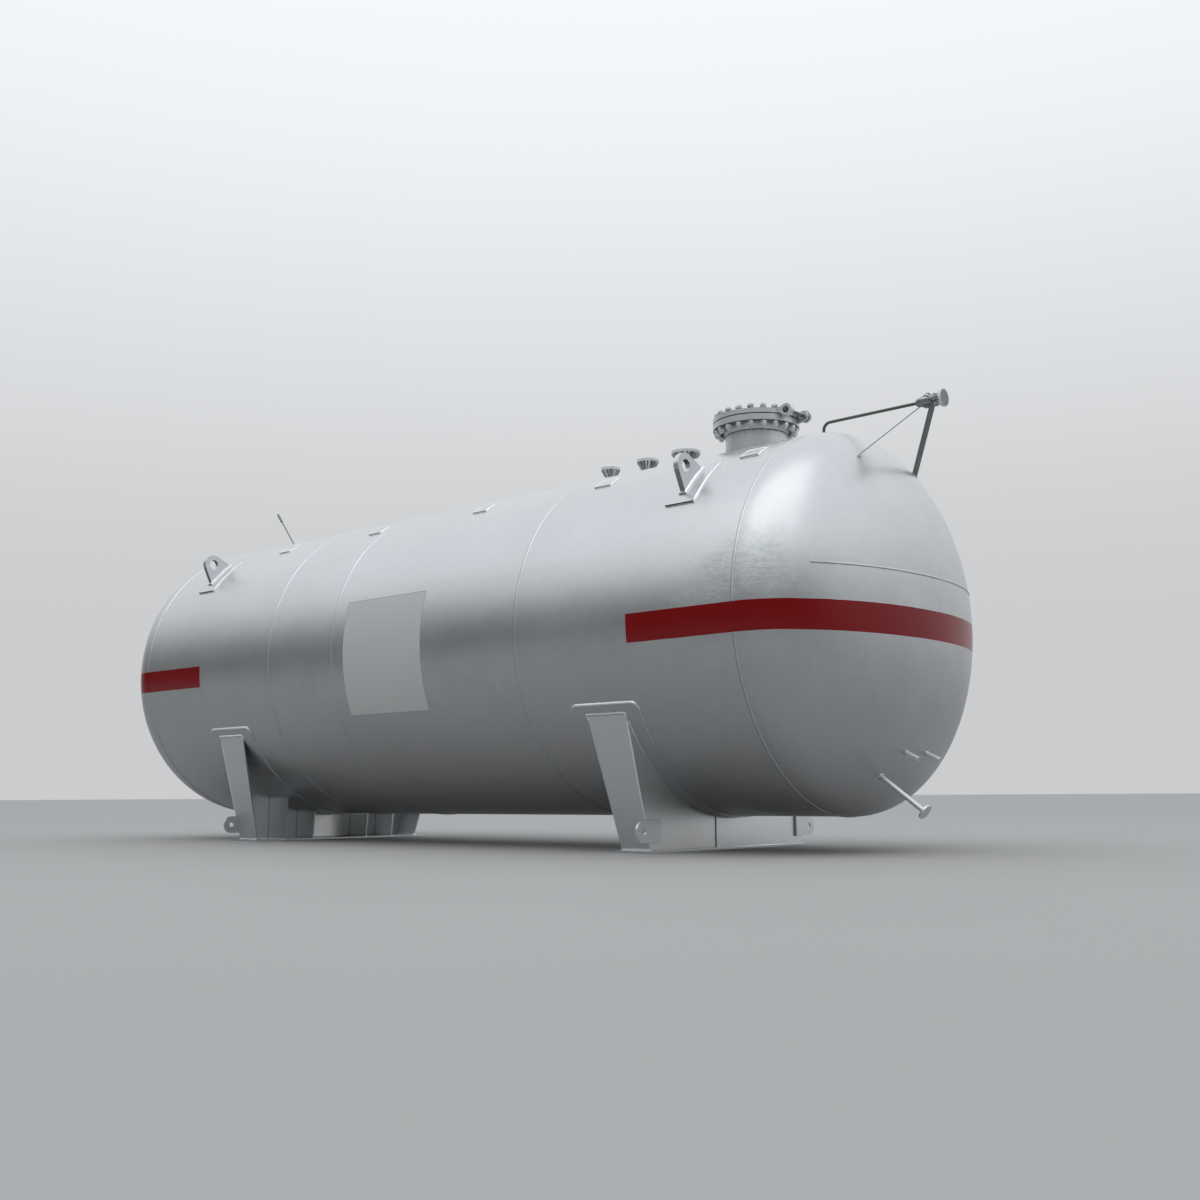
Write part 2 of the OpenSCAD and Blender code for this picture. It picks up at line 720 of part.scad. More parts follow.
module head_stubs() {
    color(paint) difference() {
        for (side = [-1, 1]) stub_line(side) difference() {
            translate([0, 0, -wall]) cylinder(r = stub_r, h = wall + stub_l);
            translate([0, 0, -2 * wall]) cylinder(r = stub_r - stub_wall, h = 3 * wall + stub_l);
        }
        at_near_head() head_solid();
    }
}

module drain_line() {
    translate([head_x(drain_y, drain_drop), -drain_y, -drain_drop]) rotate([0, 90 + drain_angle, 0]) children();
}

module drain_pipe() {
    color(paint) difference() {
        drain_line() difference() {
            union() {
                translate([0, 0, -60]) cylinder(r = drain_r, h = 60 + drain_l);
                translate([0, 0, drain_l]) cylinder(r = drain_flange_r, h = drain_flange_t);
            }
            translate([0, 0, -61]) cylinder(r = drain_r - drain_wall, h = 61 + drain_l);
        }
        at_near_head() head_solid();
    }
}

module slanted_rod() {
    color(shade) difference() {
        translate([-rod_x, 0, shell_r]) rotate([0, -rod_lean, 0]) {
            translate([0, 0, -20]) cylinder(r = rod_r, h = rod_l + 20);
            translate([0, 0, rod_l - grip_l]) cylinder(r = grip_r, h = grip_l);
            translate([0, 0, rod_l]) sphere(r = grip_r);
        }
        shell_solid(shell_r);
    }
}

place() shell_course(0);  // shell_course_1
place() shell_course(1);  // shell_course_2
place() shell_course(2);  // shell_course_3
place() shell_course(3);  // shell_course_4
place() near_head();
place() far_head();
place() base_plate(true);  // near_base_plate
place() web(true);  // near_web
place() end_plates(true);  // near_end_plates
place() ribs(true);  // near_ribs
place() wear_plate(true);  // near_wear_plate
place() tie_down_ears(true);  // near_tie_down_ears
place() base_plate(false);  // far_base_plate
place() web(false);  // far_web
place() end_plates(false);  // far_end_plates
place() ribs(false);  // far_ribs
place() wear_plate(false);  // far_wear_plate
place() tie_down_ears(false);  // far_tie_down_ears
place() lifting_lug(1, 1);  // lifting_lug_1
place() lifting_lug(1, -1);  // lifting_lug_2
place() lifting_lug(-1, 1);  // lifting_lug_3
place() lifting_lug(-1, -1);  // lifting_lug_4
place() lug_pads();
place() platform_pads(1);  // near_platform_pads
place() platform_pads(-1);  // far_platform_pads
place() manway_neck();
place() manway_flange();
place() manway_gasket();
place() manway_cover();
place() hinge_ears();
place() hinge_pin();
place() hinge_arms();
place() nozzle(0);  // nozzle_1
place() nozzle(1);  // nozzle_2
place() nozzle(2);  // nozzle_3
place() film_cap(0);  // film_cap_1
place() film_cap(1);  // film_cap_2
place() film_cap(2);  // film_cap_3
place() gauge_pipe();
place() gauge_valve();
place() gauge_flange();
place() gauge_struts();
place() head_stubs();
place() drain_pipe();
place() slanted_rod();
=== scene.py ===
"""Horizontal pressure tank: finishes, welds, studs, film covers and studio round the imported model."""

import math
import random
from functools import partial

import bmesh
import bpy
from bpy.props import FloatProperty, FloatVectorProperty, IntProperty, PointerProperty
from mathutils import Matrix, Vector, noise


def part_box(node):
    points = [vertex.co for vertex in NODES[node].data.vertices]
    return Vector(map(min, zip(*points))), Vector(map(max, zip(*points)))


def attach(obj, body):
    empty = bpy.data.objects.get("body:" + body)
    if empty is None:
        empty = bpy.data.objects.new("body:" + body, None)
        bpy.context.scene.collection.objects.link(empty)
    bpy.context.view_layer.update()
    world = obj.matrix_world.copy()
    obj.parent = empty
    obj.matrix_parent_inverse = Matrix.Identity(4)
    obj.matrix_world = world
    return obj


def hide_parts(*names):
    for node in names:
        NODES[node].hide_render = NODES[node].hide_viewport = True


bl_info = {
    "name": "Horizontal Pressure Tank",
    "version": (1, 0, 0),
    "blender": (4, 5, 0),
    "location": "3D View > Sidebar > Tank",
    "description": "Builds the finishes, weld beads, manway studs and film covers of a silver tank on two saddles",
    "category": "Object",
}

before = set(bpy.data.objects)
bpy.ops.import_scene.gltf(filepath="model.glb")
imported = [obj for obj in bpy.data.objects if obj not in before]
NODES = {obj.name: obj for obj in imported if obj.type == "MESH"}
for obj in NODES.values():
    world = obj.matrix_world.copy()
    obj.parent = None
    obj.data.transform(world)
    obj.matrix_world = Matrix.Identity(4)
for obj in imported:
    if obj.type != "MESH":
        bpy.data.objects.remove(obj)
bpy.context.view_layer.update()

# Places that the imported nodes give.
COURSE_LO, COURSE_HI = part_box("shell_course_2")
AXIS_Z = (COURSE_LO.z + COURSE_HI.z) / 2
SHELL_R = (COURSE_HI.z - COURSE_LO.z) / 2
SEAMS = [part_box(f"shell_course_{i}")[0].x for i in range(1, 5)] + [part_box("shell_course_4")[1].x]
NEAR_WELD, FAR_WELD = SEAMS[4], SEAMS[0]
HEAD_FLANGE = 0.04
HEAD_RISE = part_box("near_head")[1].x - NEAR_WELD - HEAD_FLANGE
COVER_LO, COVER_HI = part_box("manway_cover")
MANWAY = Vector(((COVER_LO.x + COVER_HI.x) / 2, 0, 0))
FLANGE_FACE = min(
    v.co.z for v in NODES["manway_flange"].data.vertices if math.hypot(v.co.x - MANWAY.x, v.co.y) > 0.36
)


def around_axis(co):
    """Distance of a point from the tank's own axis."""
    return math.hypot(co.y, co.z - AXIS_Z)


def head_reach(co):
    """How far along the tank the near head's outer surface lies beside a point."""
    share = 1 - (around_axis(co) / SHELL_R) ** 2
    return NEAR_WELD + HEAD_FLANGE + HEAD_RISE * math.sqrt(max(share, 0))


# ---- settings


Length = partial(FloatProperty, unit="LENGTH")
Colour = partial(FloatVectorProperty, subtype="COLOR", min=0, max=1)


class PaintSettings(bpy.types.PropertyGroup):
    silver: Colour(name="Silver", description="Aluminium paint of the shell", default=(0.66, 0.675, 0.69))
    silver_roughness: FloatProperty(name="Silver Roughness", description="Dullness", default=0.33, min=0, max=1)
    band: Colour(name="Band", description="Red band round both heads", default=(0.22, 0.002, 0.004))
    band_low: Length(name="Band Bottom", description="From the tank's axis", default=-0.205)
    band_high: Length(name="Band Top", description="From the tank's axis", default=0.015)
    band_near: Length(name="Band Near End", description="Along the tank", default=2.834)
    band_far: Length(name="Band Far End", description="Along the tank", default=-2.960)
    panel: Colour(name="Panel", description="Bare pale panel on the side", default=(0.56, 0.585, 0.58))


class WeldSettings(bpy.types.PropertyGroup):
    girth_width: Length(name="Seam Width", description="Girth weld cap", default=0.018)
    girth_height: Length(name="Seam Height", description="Girth weld cap", default=0.006)
    fillet: Length(name="Fillet", description="Radius of the fillet welds", default=0.008)
    step: Length(name="Step", description="Distance from one ring of a bead to the next", default=0.03)


class StudSettings(bpy.types.PropertyGroup):
    count: IntProperty(name="Studs", description="Studs round the manway", default=20, min=4, max=40)
    circle: Length(name="Circle Radius", description="Radius of the stud circle", default=0.330)
    shank: Length(name="Stud Radius", description="Radius of a stud", default=0.0165)
    flats: Length(name="Across Flats", description="Width of a nut", default=0.050)
    nut_h: Length(name="Nut Height", description="Height of a nut", default=0.036)
    top_end: Length(name="Upper End", description="Stud above the cover", default=0.043)
    low_end: Length(name="Lower End", description="Stud below the flange", default=0.050)


class FilmSettings(bpy.types.PropertyGroup):
    pleats: IntProperty(name="Pleats", description="Gathers round a nozzle", default=21, min=6, max=60)
    depth: FloatProperty(name="Pleat Depth", description="Share of the radius", default=0.13, min=0, max=0.4)
    thickness: Length(name="Thickness", description="Thickness of the film", default=0.0006)


class StageSettings(bpy.types.PropertyGroup):
    floor: Colour(name="Floor", description="Pale studio floor", default=(0.45, 0.448, 0.445))
    horizon: Colour(name="Horizon", description="Low backdrop opposite the panel", default=(0.60, 0.605, 0.615))
    flag: Colour(name="Flag", description="Low, darker backdrop on the panel's side", default=(0.07, 0.071, 0.070))
    zenith: Colour(name="Zenith", description="Backdrop overhead", default=(0.93, 0.965, 1.0))
    softbox: FloatProperty(name="Softbox", description="Power of the overhead softbox", default=230.0, min=0)


class TankSettings(bpy.types.PropertyGroup):
    paint: PointerProperty(type=PaintSettings)
    weld: PointerProperty(type=WeldSettings)
    stud: PointerProperty(type=StudSettings)
    film: PointerProperty(type=FilmSettings)
    stage: PointerProperty(type=StageSettings)


# ---- node groups and finishes


class Tree:
    """A node tree with short ways to add and link nodes."""

    def __init__(self, tree):
        self.tree = tree

    def add(self, kind, **values):
        """A new node. A value goes to its property, or to its input by name, or by i and a number."""
        made = self.tree.nodes.new(kind)
        for key, value in values.items():
            if hasattr(made, key):
                setattr(made, key, value)
            else:
                numbered = key[0] == "i" and key[1:].isdigit()
                self.feed(made.inputs[int(key[1:]) if numbered else key.replace("_", " ")], value)
        return made

    def give(self, sockets, **values):
        """Feeds values to sockets by name, and returns the node tree itself."""
        for label, value in values.items():
            self.feed(sockets[label.replace("_", " ")], value)
        return self.tree

    def feed(self, socket, value):
        if isinstance(value, bpy.types.NodeSocket):
            self.tree.links.new(value, socket)
        elif hasattr(socket.default_value, "__len__") and hasattr(value, "__len__"):
            socket.default_value = (*value, *[1.0] * (len(socket.default_value) - len(value)))
        else:
            socket.default_value = value

    def math(self, operation, a, b=0.0, clamp=False):
        return self.add("ShaderNodeMath", operation=operation, use_clamp=clamp, i0=a, i1=b).outputs[0]

    def plus(self, a, b):
        return self.math("ADD", a, b)

    def minus(self, a, b):
        return self.math("SUBTRACT", a, b)

    def times(self, a, b, clamp=False):
        return self.math("MULTIPLY", a, b, clamp)

    def above(self, a, b):
        return self.math("GREATER_THAN", a, b)

    def below(self, a, b):
        return self.math("LESS_THAN", a, b)

    def vector(self, operation, output, **values):
        return self.add("ShaderNodeVectorMath", operation=operation, **values).outputs[output]

    def mix(self, factor, a, b):
        return self.add("ShaderNodeMix", data_type="RGBA", i0=factor, i6=a, i7=b).outputs[2]

    def blend(self, factor, a, b):
        return self.add("ShaderNodeMix", data_type="FLOAT", i0=factor, i2=a, i3=b).outputs[0]

    def ramp(self, value, low, high, out_low=0.0, out_high=1.0, smooth=True):
        return self.add(
            "ShaderNodeMapRange", interpolation_type="SMOOTHSTEP" if smooth else "LINEAR",
            Value=value, From_Min=low, From_Max=high, To_Min=out_low, To_Max=out_high,
        ).outputs[0]

    def coords(self, scale=(1, 1, 1), shift=(0, 0, 0)):
        place = self.add("ShaderNodeTexCoord").outputs["Object"]
        return self.add("ShaderNodeMapping", Vector=place, Scale=scale, Location=shift).outputs[0]

    def place(self):
        """The object's own X, Y and Z at a point."""
        return self.add("ShaderNodeSeparateXYZ", i0=self.coords()).outputs

    def upward(self):
        """How far a face looks up: 1 straight up, -1 straight down."""
        normal = self.add("ShaderNodeNewGeometry").outputs["Normal"]
        return self.add("ShaderNodeSeparateXYZ", i0=normal).outputs[2]

    def noise(self, scale, detail=2.0, rough=0.5, vector=None, warp=0.0):
        vector = vector or self.coords()
        return self.add(
            "ShaderNodeTexNoise", Vector=vector, Scale=scale, Detail=detail, Roughness=rough, Distortion=warp
        ).outputs["Fac"]

    def sway(self, amount, *noise, **more):
        """Noise round zero, as wide as an amount says."""
        return self.times(self.minus(self.noise(*noise, **more), 0.5), amount)


# The sockets of groups that hold more than a number, and the coat that many groups take in.
KINDS = {"Color": "NodeSocketColor", "Bright": "NodeSocketColor", "Normal": "NodeSocketVector"}
COAT = {"Color": (0.8, 0.8, 0.8, 1), "Roughness": 0.36}
SILVER_METALLIC = 0.9
# Uneven spraying makes no paint glossier than this, unless it is meant to be.
GLOSS_LIMIT = 0.285
# The bare panel: its middle along the tank and below the axis, half its width and height, and its border's reach.
PANEL_X, PANEL_DROP, PANEL_HALF_W, PANEL_HALF_H, PANEL_BORDER = -0.0435, 0.075, 0.5395, 0.525, 0.004
# A girth seam: the distance of its painted shade line from the middle of the cap, and half the widths of that line and
# of the painted highlight over the cap.
SEAM_SHADE_OFF, SEAM_SHADE_HALF, SEAM_HIGHLIGHT_HALF = 0.013, 0.006, 0.011


def node_group(name, outputs=("Color", "Roughness"), **inputs):
    """A new node group's tree, and the sockets of its two end nodes."""
    group = bpy.data.node_groups.new(name, "ShaderNodeTree")
    add = group.interface.new_socket
    for label, value in inputs.items():
        add(label, in_out="INPUT", socket_type=KINDS.get(label, "NodeSocketFloat")).default_value = value
    for label in outputs:
        add(label, in_out="OUTPUT", socket_type=KINDS.get(label, "NodeSocketFloat"))
    return Tree(group), group.nodes.new("NodeGroupInput").outputs, group.nodes.new("NodeGroupOutput").inputs


def lay_over(tree, i, o, mask, colour, roughness):
    """Puts out a coat with another one over it, as far as a mask says."""
    return tree.give(o, Color=tree.mix(mask, i["Color"], colour), Roughness=tree.blend(mask, i["Roughness"], roughness))


def sprayed_coat_group():
    """Aluminium paint laid in passes: broad cloudy tone, uneven gloss and slow waves in the plate."""
    tree, i, o = node_group("sprayed_coat", ("Color", "Roughness", "Height"), **COAT, Patchiness=1.0, Grain=1.0)
    broad = tree.noise(0.8, 3, 0.55)
    fine = tree.noise(14.0, 4, 0.65)
    cloud = tree.plus(tree.times(broad, 0.55), tree.times(fine, 0.45))
    shift = tree.times(tree.minus(cloud, 0.5), i["Patchiness"])
    shade = tree.ramp(shift, -0.4, 0.4, 0.88, 1.10, False)
    bands = tree.sway(0.15, 1.0, 2, 0.5, tree.coords((0.35, 2.2, 4.5)))
    uneven = tree.plus(tree.times(bands, i["Patchiness"]), tree.times(shift, 0.12))
    floor = tree.math("MINIMUM", i["Roughness"], GLOSS_LIMIT)
    waves = tree.times(tree.noise(1.6, 2, 0.4), 0.0040)
    return tree.give(
        o, Color=tree.vector("SCALE", 0, i0=i["Color"], Scale=shade),
        Roughness=tree.math("MAXIMUM", tree.plus(i["Roughness"], uneven), floor), Height=tree.times(waves, i["Grain"]),
    )


def rolled_plate_group():
    """The exact normal of the shell and its heads, for faces that lie along it, and which side is outside."""
    tree, _, o = node_group("rolled_plate", ("Normal", "Outside"))
    x, y, z = tree.place()
    beyond = tree.math("MAXIMUM", tree.minus(x, NEAR_WELD + HEAD_FLANGE), 0.0)
    short_of = tree.math("MINIMUM", tree.minus(x, FAR_WELD - HEAD_FLANGE), 0.0)
    along = tree.times(tree.plus(beyond, short_of), (SHELL_R / HEAD_RISE) ** 2)
    outward = tree.add("ShaderNodeCombineXYZ", i0=along, i1=y, i2=tree.minus(z, AXIS_Z)).outputs[0]
    outward = tree.vector("NORMALIZE", 0, i0=outward)
    found = tree.add("ShaderNodeNewGeometry").outputs["Normal"]
    agree = tree.vector("DOT_PRODUCT", "Value", i0=outward, i1=found)
    facing = tree.vector("SCALE", 0, i0=outward, Scale=tree.math("SIGN", agree))
    close = tree.above(tree.math("ABSOLUTE", agree), 0.985)
    chosen = tree.add("ShaderNodeMix", data_type="VECTOR", i0=close, i4=found, i5=facing)
    return tree.give(o, Normal=chosen.outputs[1], Outside=tree.above(agree, -0.5))


def settled_dust_group():
    """Dust that lies in specks on faces which look up."""
    tree, i, o = node_group("settled_dust", **COAT, Amount=0.3)
    lying = tree.ramp(tree.upward(), 0.2, 0.95)
    specks = tree.ramp(tree.noise(28.0, 4, 0.65), 0.48, 0.72)
    mask = tree.times(tree.times(lying, specks), i["Amount"], True)
    return lay_over(tree, i, o, mask, (0.42, 0.40, 0.37), 0.85)


def edge_wear_group():
    """Bright chips along edges that stand out."""
    tree, i, o = node_group("edge_wear", **COAT, Bright=(0.9, 0.9, 0.9, 1), Amount=0.6)
    edge = tree.ramp(tree.add("ShaderNodeNewGeometry").outputs["Pointiness"], 0.52, 0.60)
    chips = tree.ramp(tree.noise(45.0, 4, 0.7), 0.35, 0.6)
    mask = tree.times(tree.times(edge, chips), i["Amount"], True)
    return lay_over(tree, i, o, mask, i["Bright"], 0.3)


def crevice_grime_group():
    """Painted shade: a near-black colour where plates and nuts stand close together, found by ambient occlusion within
    a reach and broken by noise.
    """
    tree, i, o = node_group("crevice_grime", **COAT, Reach=0.08, Amount=0.7)
    hidden = tree.add("ShaderNodeAmbientOcclusion", samples=6, Distance=i["Reach"])
    open_share = tree.plus(hidden.outputs["AO"], tree.times(tree.noise(22.0, 3, 0.6), 0.2))
    mask = tree.times(tree.ramp(open_share, 0.95, 0.35), i["Amount"], True)
    return lay_over(tree, i, o, mask, (0.045, 0.045, 0.043), 0.7)


def missed_underside_group():
    """Painted shade: faces which look down take a near-black colour, more the further down they look, broken by noise.
    """
    tree, i, o = node_group("missed_underside", **COAT, Start=0.0, Amount=0.8)
    down = tree.minus(tree.minus(i["Start"], tree.upward()), tree.sway(0.3, 3.0, 4, 0.6))
    mask = tree.times(tree.ramp(down, 0.0, 0.6), i["Amount"], True)
    return lay_over(tree, i, o, mask, (0.05, 0.048, 0.047), 0.42)


def painted_band_group(paint):
    """The red band round both heads, with a slightly wavy edge."""
    tree, _, o = node_group("painted_band", ("Mask",))
    x, _, z = tree.place()
    z = tree.plus(z, tree.sway(0.006, 6.0, 2))
    tall = tree.times(tree.above(z, AXIS_Z + paint.band_low), tree.below(z, AXIS_Z + paint.band_high))
    ends = tree.plus(tree.above(x, paint.band_near), tree.below(x, paint.band_far))
    return tree.give(o, Mask=tree.times(tall, ends, True))


def bare_panel_group():
    """The bare panel on one side of the shell, and its thin border."""
    tree, _, o = node_group("bare_panel", ("Mask", "Edge"))
    x, y, z = tree.place()
    across = tree.math("ABSOLUTE", tree.minus(x, PANEL_X))
    up = tree.math("ABSOLUTE", tree.minus(z, AXIS_Z - PANEL_DROP))
    inside = tree.math("MINIMUM", tree.minus(PANEL_HALF_W, across), tree.minus(PANEL_HALF_H, up))
    side = tree.below(y, 0.0)
    border = tree.below(tree.math("ABSOLUTE", inside), PANEL_BORDER)
    return tree.give(o, Mask=tree.times(tree.above(inside, 0.0), side), Edge=tree.times(border, side))


def hand_brushed_group():
    """Touch-up paint brushed by hand over the near head's weld, above the band on the panel's side."""
    tree, _, o = node_group("hand_brushed", ("Mask", "Streaks", "Flecks"))
    side = tree.below(tree.place()[1], 0.0)
    ragged = tree.sway(1.6, 4.0, 5, 0.7, warp=0.6)

    def patch(scale, shift, low, high):
        """A ragged oval, 1 in its middle."""
        away = tree.vector("LENGTH", "Value", i0=tree.coords(scale, shift))
        return tree.ramp(tree.plus(away, ragged), low, high)

    high_patch = patch((1.9, 0.0, 3.1), (-7.45, 0.0, -6.35), 1.05, 0.25)
    low_patch = patch((1.7, 0.0, 9.0), (-6.20, 0.0, -16.70), 1.0, 0.3)
    lean = tree.add("ShaderNodeMapping", Vector=tree.coords((1, 0.3, 1)), Rotation=(0, 0.75, 0), Scale=(5, 5, 30))
    coarse = tree.noise(1.0, 5, 0.7, lean.outputs[0], 1.2)
    hairs = tree.noise(26.0, 3, 0.7)
    foot = patch((1.9, 0.0, 16.0), (-7.50, 0.0, -30.2), 0.9, 0.3)
    bright = tree.ramp(tree.noise(34.0, 3, 0.75, warp=1.5), 0.52, 0.66)
    return tree.give(
        o, Mask=tree.times(tree.math("MAXIMUM", high_patch, low_patch), side),
        Streaks=tree.ramp(tree.blend(0.45, coarse, hairs), 0.38, 0.62),
        Flecks=tree.times(tree.times(foot, bright), side),
    )


def seam_highlight_and_shade_group():
    """Each girth seam: a painted highlight strip over its cap, and a thin painted shade line on the side away from the
    manway's head.
    """
    tree, _, o = node_group("seam_highlight_and_shade", ("Line", "Cap"))
    x = tree.plus(tree.place()[0], tree.sway(0.006, 9.0, 3, 0.6))

    def strip(off, half, core):
        """1 within the core of every seam's strip, and 0 beyond half its width."""
        found = None
        for seam in SEAMS:
            here = tree.ramp(tree.math("ABSOLUTE", tree.minus(x, seam - off)), half, core)
            found = here if found is None else tree.math("MAXIMUM", found, here)
        return found

    return tree.give(o, Line=strip(SEAM_SHADE_OFF, SEAM_SHADE_HALF, 0.001), Cap=strip(0.0, SEAM_HIGHLIGHT_HALF, 0.007))


GROUPS = {}
FINISHES = {}


def use_group(tree, name, **values):
    made = tree.add("ShaderNodeGroup", node_tree=GROUPS[name])
    tree.give(made.inputs, **values)
    return made.outputs


def coated(tree, name, colour, roughness, **values):
    """A colour and a roughness after one of the groups that lay something over a coat."""
    out = use_group(tree, name, Color=colour, Roughness=roughness, **values)
    return out["Color"], out["Roughness"]


def new_finish(name, **values):
    """A new material's tree and shader. The values go to the shader's inputs."""
    material = bpy.data.materials.new(name)
    material.use_nodes = True
    tree = Tree(material.node_tree)
    shader = material.node_tree.nodes["Principled BSDF"]
    tree.give(shader.inputs, **{"Specular_IOR_Level": 0.3, **values})
    FINISHES[name] = material
    return tree, shader


def wire(tree, shader, colour, roughness, height, normal=None):
    """Feeds a finish's colour, roughness and relief to its shader."""
    bump = tree.add("ShaderNodeBump", Height=height, Distance=1.0)
    if normal:
        tree.feed(bump.inputs["Normal"], normal)
    tree.give(shader.inputs, Base_Color=colour, Roughness=roughness, Normal=bump.outputs[0])


def silver_finish(
    name, paint, marked=False, dust=0.15, tint=(1, 1, 1), rough=0.0, patch=1.0, grain=1.0, ripple=False, grime=0.0,
    missed=None,
):
    """Sprayed aluminium paint. A marked one carries the red band, the bare panel, the seams' painted highlight and
    shade lines and the brushed patch.
    """
    tree, shader = new_finish(name, Metallic=SILVER_METALLIC)
    colour = tuple(a * b for a, b in zip(paint.silver, tint))
    roughness = paint.silver_roughness + rough
    coat = use_group(tree, "sprayed_coat", Color=colour, Roughness=roughness, Patchiness=patch, Grain=grain)
    colour, roughness, height = coat["Color"], coat["Roughness"], coat["Height"]
    if marked:
        brushed = use_group(tree, "hand_brushed")
        dull = tree.mix(brushed["Streaks"], (0.46, 0.50, 0.48), (0.66, 0.69, 0.68))
        colour = tree.mix(tree.times(brushed["Mask"], 0.55), colour, dull)
        colour = tree.mix(tree.times(brushed["Flecks"], 0.8), colour, (0.93, 0.95, 0.94))
        roughness = tree.plus(roughness, tree.times(brushed["Mask"], 0.12))
        raised = tree.times(tree.times(brushed["Streaks"], brushed["Mask"]), 0.0007)
        height = tree.plus(height, raised)
        # Painted highlight over each girth seam's cap, and a painted shade line beside it.
        seams = use_group(tree, "seam_highlight_and_shade")
        colour = tree.mix(tree.times(seams["Cap"], 0.35), colour, (0.90, 0.91, 0.92))
        colour = tree.mix(tree.times(seams["Line"], 0.50), colour, (0.10, 0.10, 0.10))
    colour, roughness = coated(tree, "settled_dust", colour, roughness, Amount=dust)
    # Painted shade on faces that look down: where it starts and how strong it is.
    if missed:
        colour, roughness = coated(tree, "missed_underside", colour, roughness, Start=missed[0], Amount=missed[1])
    # Painted shade in crevices, within the given reach.
    if grime:
        colour, roughness = coated(tree, "crevice_grime", colour, roughness, Reach=grime, Amount=0.55)
    normal = None
    if marked:
        plate = use_group(tree, "rolled_plate")
        normal, outside = plate["Normal"], plate["Outside"]
        panel = use_group(tree, "bare_panel")
        band = tree.times(use_group(tree, "painted_band")["Mask"], outside)
        bare = tree.times(panel["Mask"], outside)
        scale = tree.mix(tree.noise(7.0, 4, 0.65), (0.10, 0.085, 0.075), (0.21, 0.19, 0.175))
        colour = tree.mix(outside, scale, colour)
        colour = tree.mix(bare, colour, paint.panel)
        colour = tree.mix(tree.times(panel["Edge"], outside), colour, (0.40, 0.42, 0.43))
        colour = tree.mix(band, colour, paint.band)
        roughness = tree.blend(outside, 0.55, roughness)
        roughness = tree.blend(bare, roughness, 0.42)
        roughness = tree.blend(band, roughness, 0.24)
        flat = tree.math("MAXIMUM", band, bare)
        tree.feed(shader.inputs["Metallic"], tree.blend(flat, SILVER_METALLIC, 0.0))
        height = tree.plus(height, tree.times(flat, 0.0003))
    if ripple:
        height = tree.plus(height, tree.times(tree.noise(150.0, 2, 0.5), 0.0012))
    wire(tree, shader, colour, roughness, height, normal)


def make_finishes(paint):
    for group in (
        sprayed_coat_group(), rolled_plate_group(), settled_dust_group(), edge_wear_group(),
        crevice_grime_group(), painted_band_group(paint), bare_panel_group(), hand_brushed_group(),
        missed_underside_group(), seam_highlight_and_shade_group(),
    ):
        GROUPS[group.name] = group

    silver = partial(silver_finish, paint=paint)
    # Painted shade under the shell and the wear plates: where it starts and how strong it is.
    under = (0.25, 0.35)
    plain = {"patch": 0.8, "grain": 0.5}
    silver("shell_silver", marked=True, missed=under)
    # Painted light: plates, webs and end plates share one silver paint, whose tints make plates and webs lighter, as if
    # lit, and end plates darker, as if shaded.
    silver("plate_silver", dust=0.2, tint=(1.15, 1.15, 1.14), grime=0.03, **plain)
    silver("end_silver", dust=0.1, tint=(0.92, 0.92, 0.91), **plain)
    silver("web_silver", dust=0.1, tint=(1.32, 1.31, 1.29), grime=0.02, **plain)
    silver("wear_silver", dust=0.1, missed=under, **plain)
    silver("lug_silver", dust=0.2, missed=(-0.02, 0.9), **plain)
    silver("manway_silver", tint=(0.96, 0.98, 0.97), rough=0.02, patch=1.1, grain=0.3, grime=0.06, missed=(-0.5, 0.8))
    silver("hinge_silver", tint=(0.98, 1.0, 0.99), patch=0.6, grain=0.3, grime=0.015)
    silver("bright_silver", dust=0.1, grain=0.5)
    # Painted highlight: the weld beads' silver is made much brighter, standing in for curved beads catching the light.
    silver("weld_silver", dust=0.0, tint=(1.34, 1.33, 1.31), rough=-0.04, ripple=True, missed=(-0.30, 0.85))

    for name, colour, metallic, rough, wear in (
        ("strut_grey", (0.23, 0.245, 0.24), 0.55, 0.42, 0.1),
        ("pipe_dark", (0.13, 0.133, 0.13), 0.6, 0.38, 0.0),
        # The head stubs take a pale colour standing in for the sky's reflection on them: a painted reflection.
        ("stub_white_lit", (0.88, 0.89, 0.90), 0.35, 0.30, 0.0),
        # A dark colour for the web and hub seam beads: painted shade along those joints.
        ("seam_painted_shade", (0.12, 0.12, 0.12), 0.7, 0.38, 0.0),
        ("pin_steel", (0.035, 0.035, 0.036), 0.8, 0.40, 0.3),
        ("valve_steel", (0.20, 0.205, 0.21), 0.9, 0.38, 0.3),
        # The manway's nuts are one steel: the upper ones take a darker colour as painted shade, the lower ones a pale
        # colour as painted highlight.
        ("upper_nuts_shaded", (0.27, 0.28, 0.285), 0.85, 0.32, 0.6),
        ("lower_nuts_lit", (0.78, 0.79, 0.80), 0.7, 0.28, 0.3),
    ):
        tree, shader = new_finish(name, Metallic=metallic)
        coat = use_group(tree, "sprayed_coat", Color=colour, Roughness=rough, Patchiness=0.6, Grain=0.3)
        colour, rough = coated(tree, "edge_wear", coat["Color"], coat["Roughness"], Amount=wear)
        colour, rough = coated(tree, "settled_dust", colour, rough, Amount=0.12)
        wire(tree, shader, colour, rough, coat["Height"])

    tree, shader = new_finish("gasket_dark")
    fibres = tree.noise(160.0, 3, 0.6)
    colour = tree.mix(fibres, (0.018, 0.018, 0.020), (0.045, 0.045, 0.048))
    wire(tree, shader, colour, tree.ramp(fibres, 0.0, 1.0, 0.6, 0.9), tree.times(fibres, 0.0004))
    clear_film()


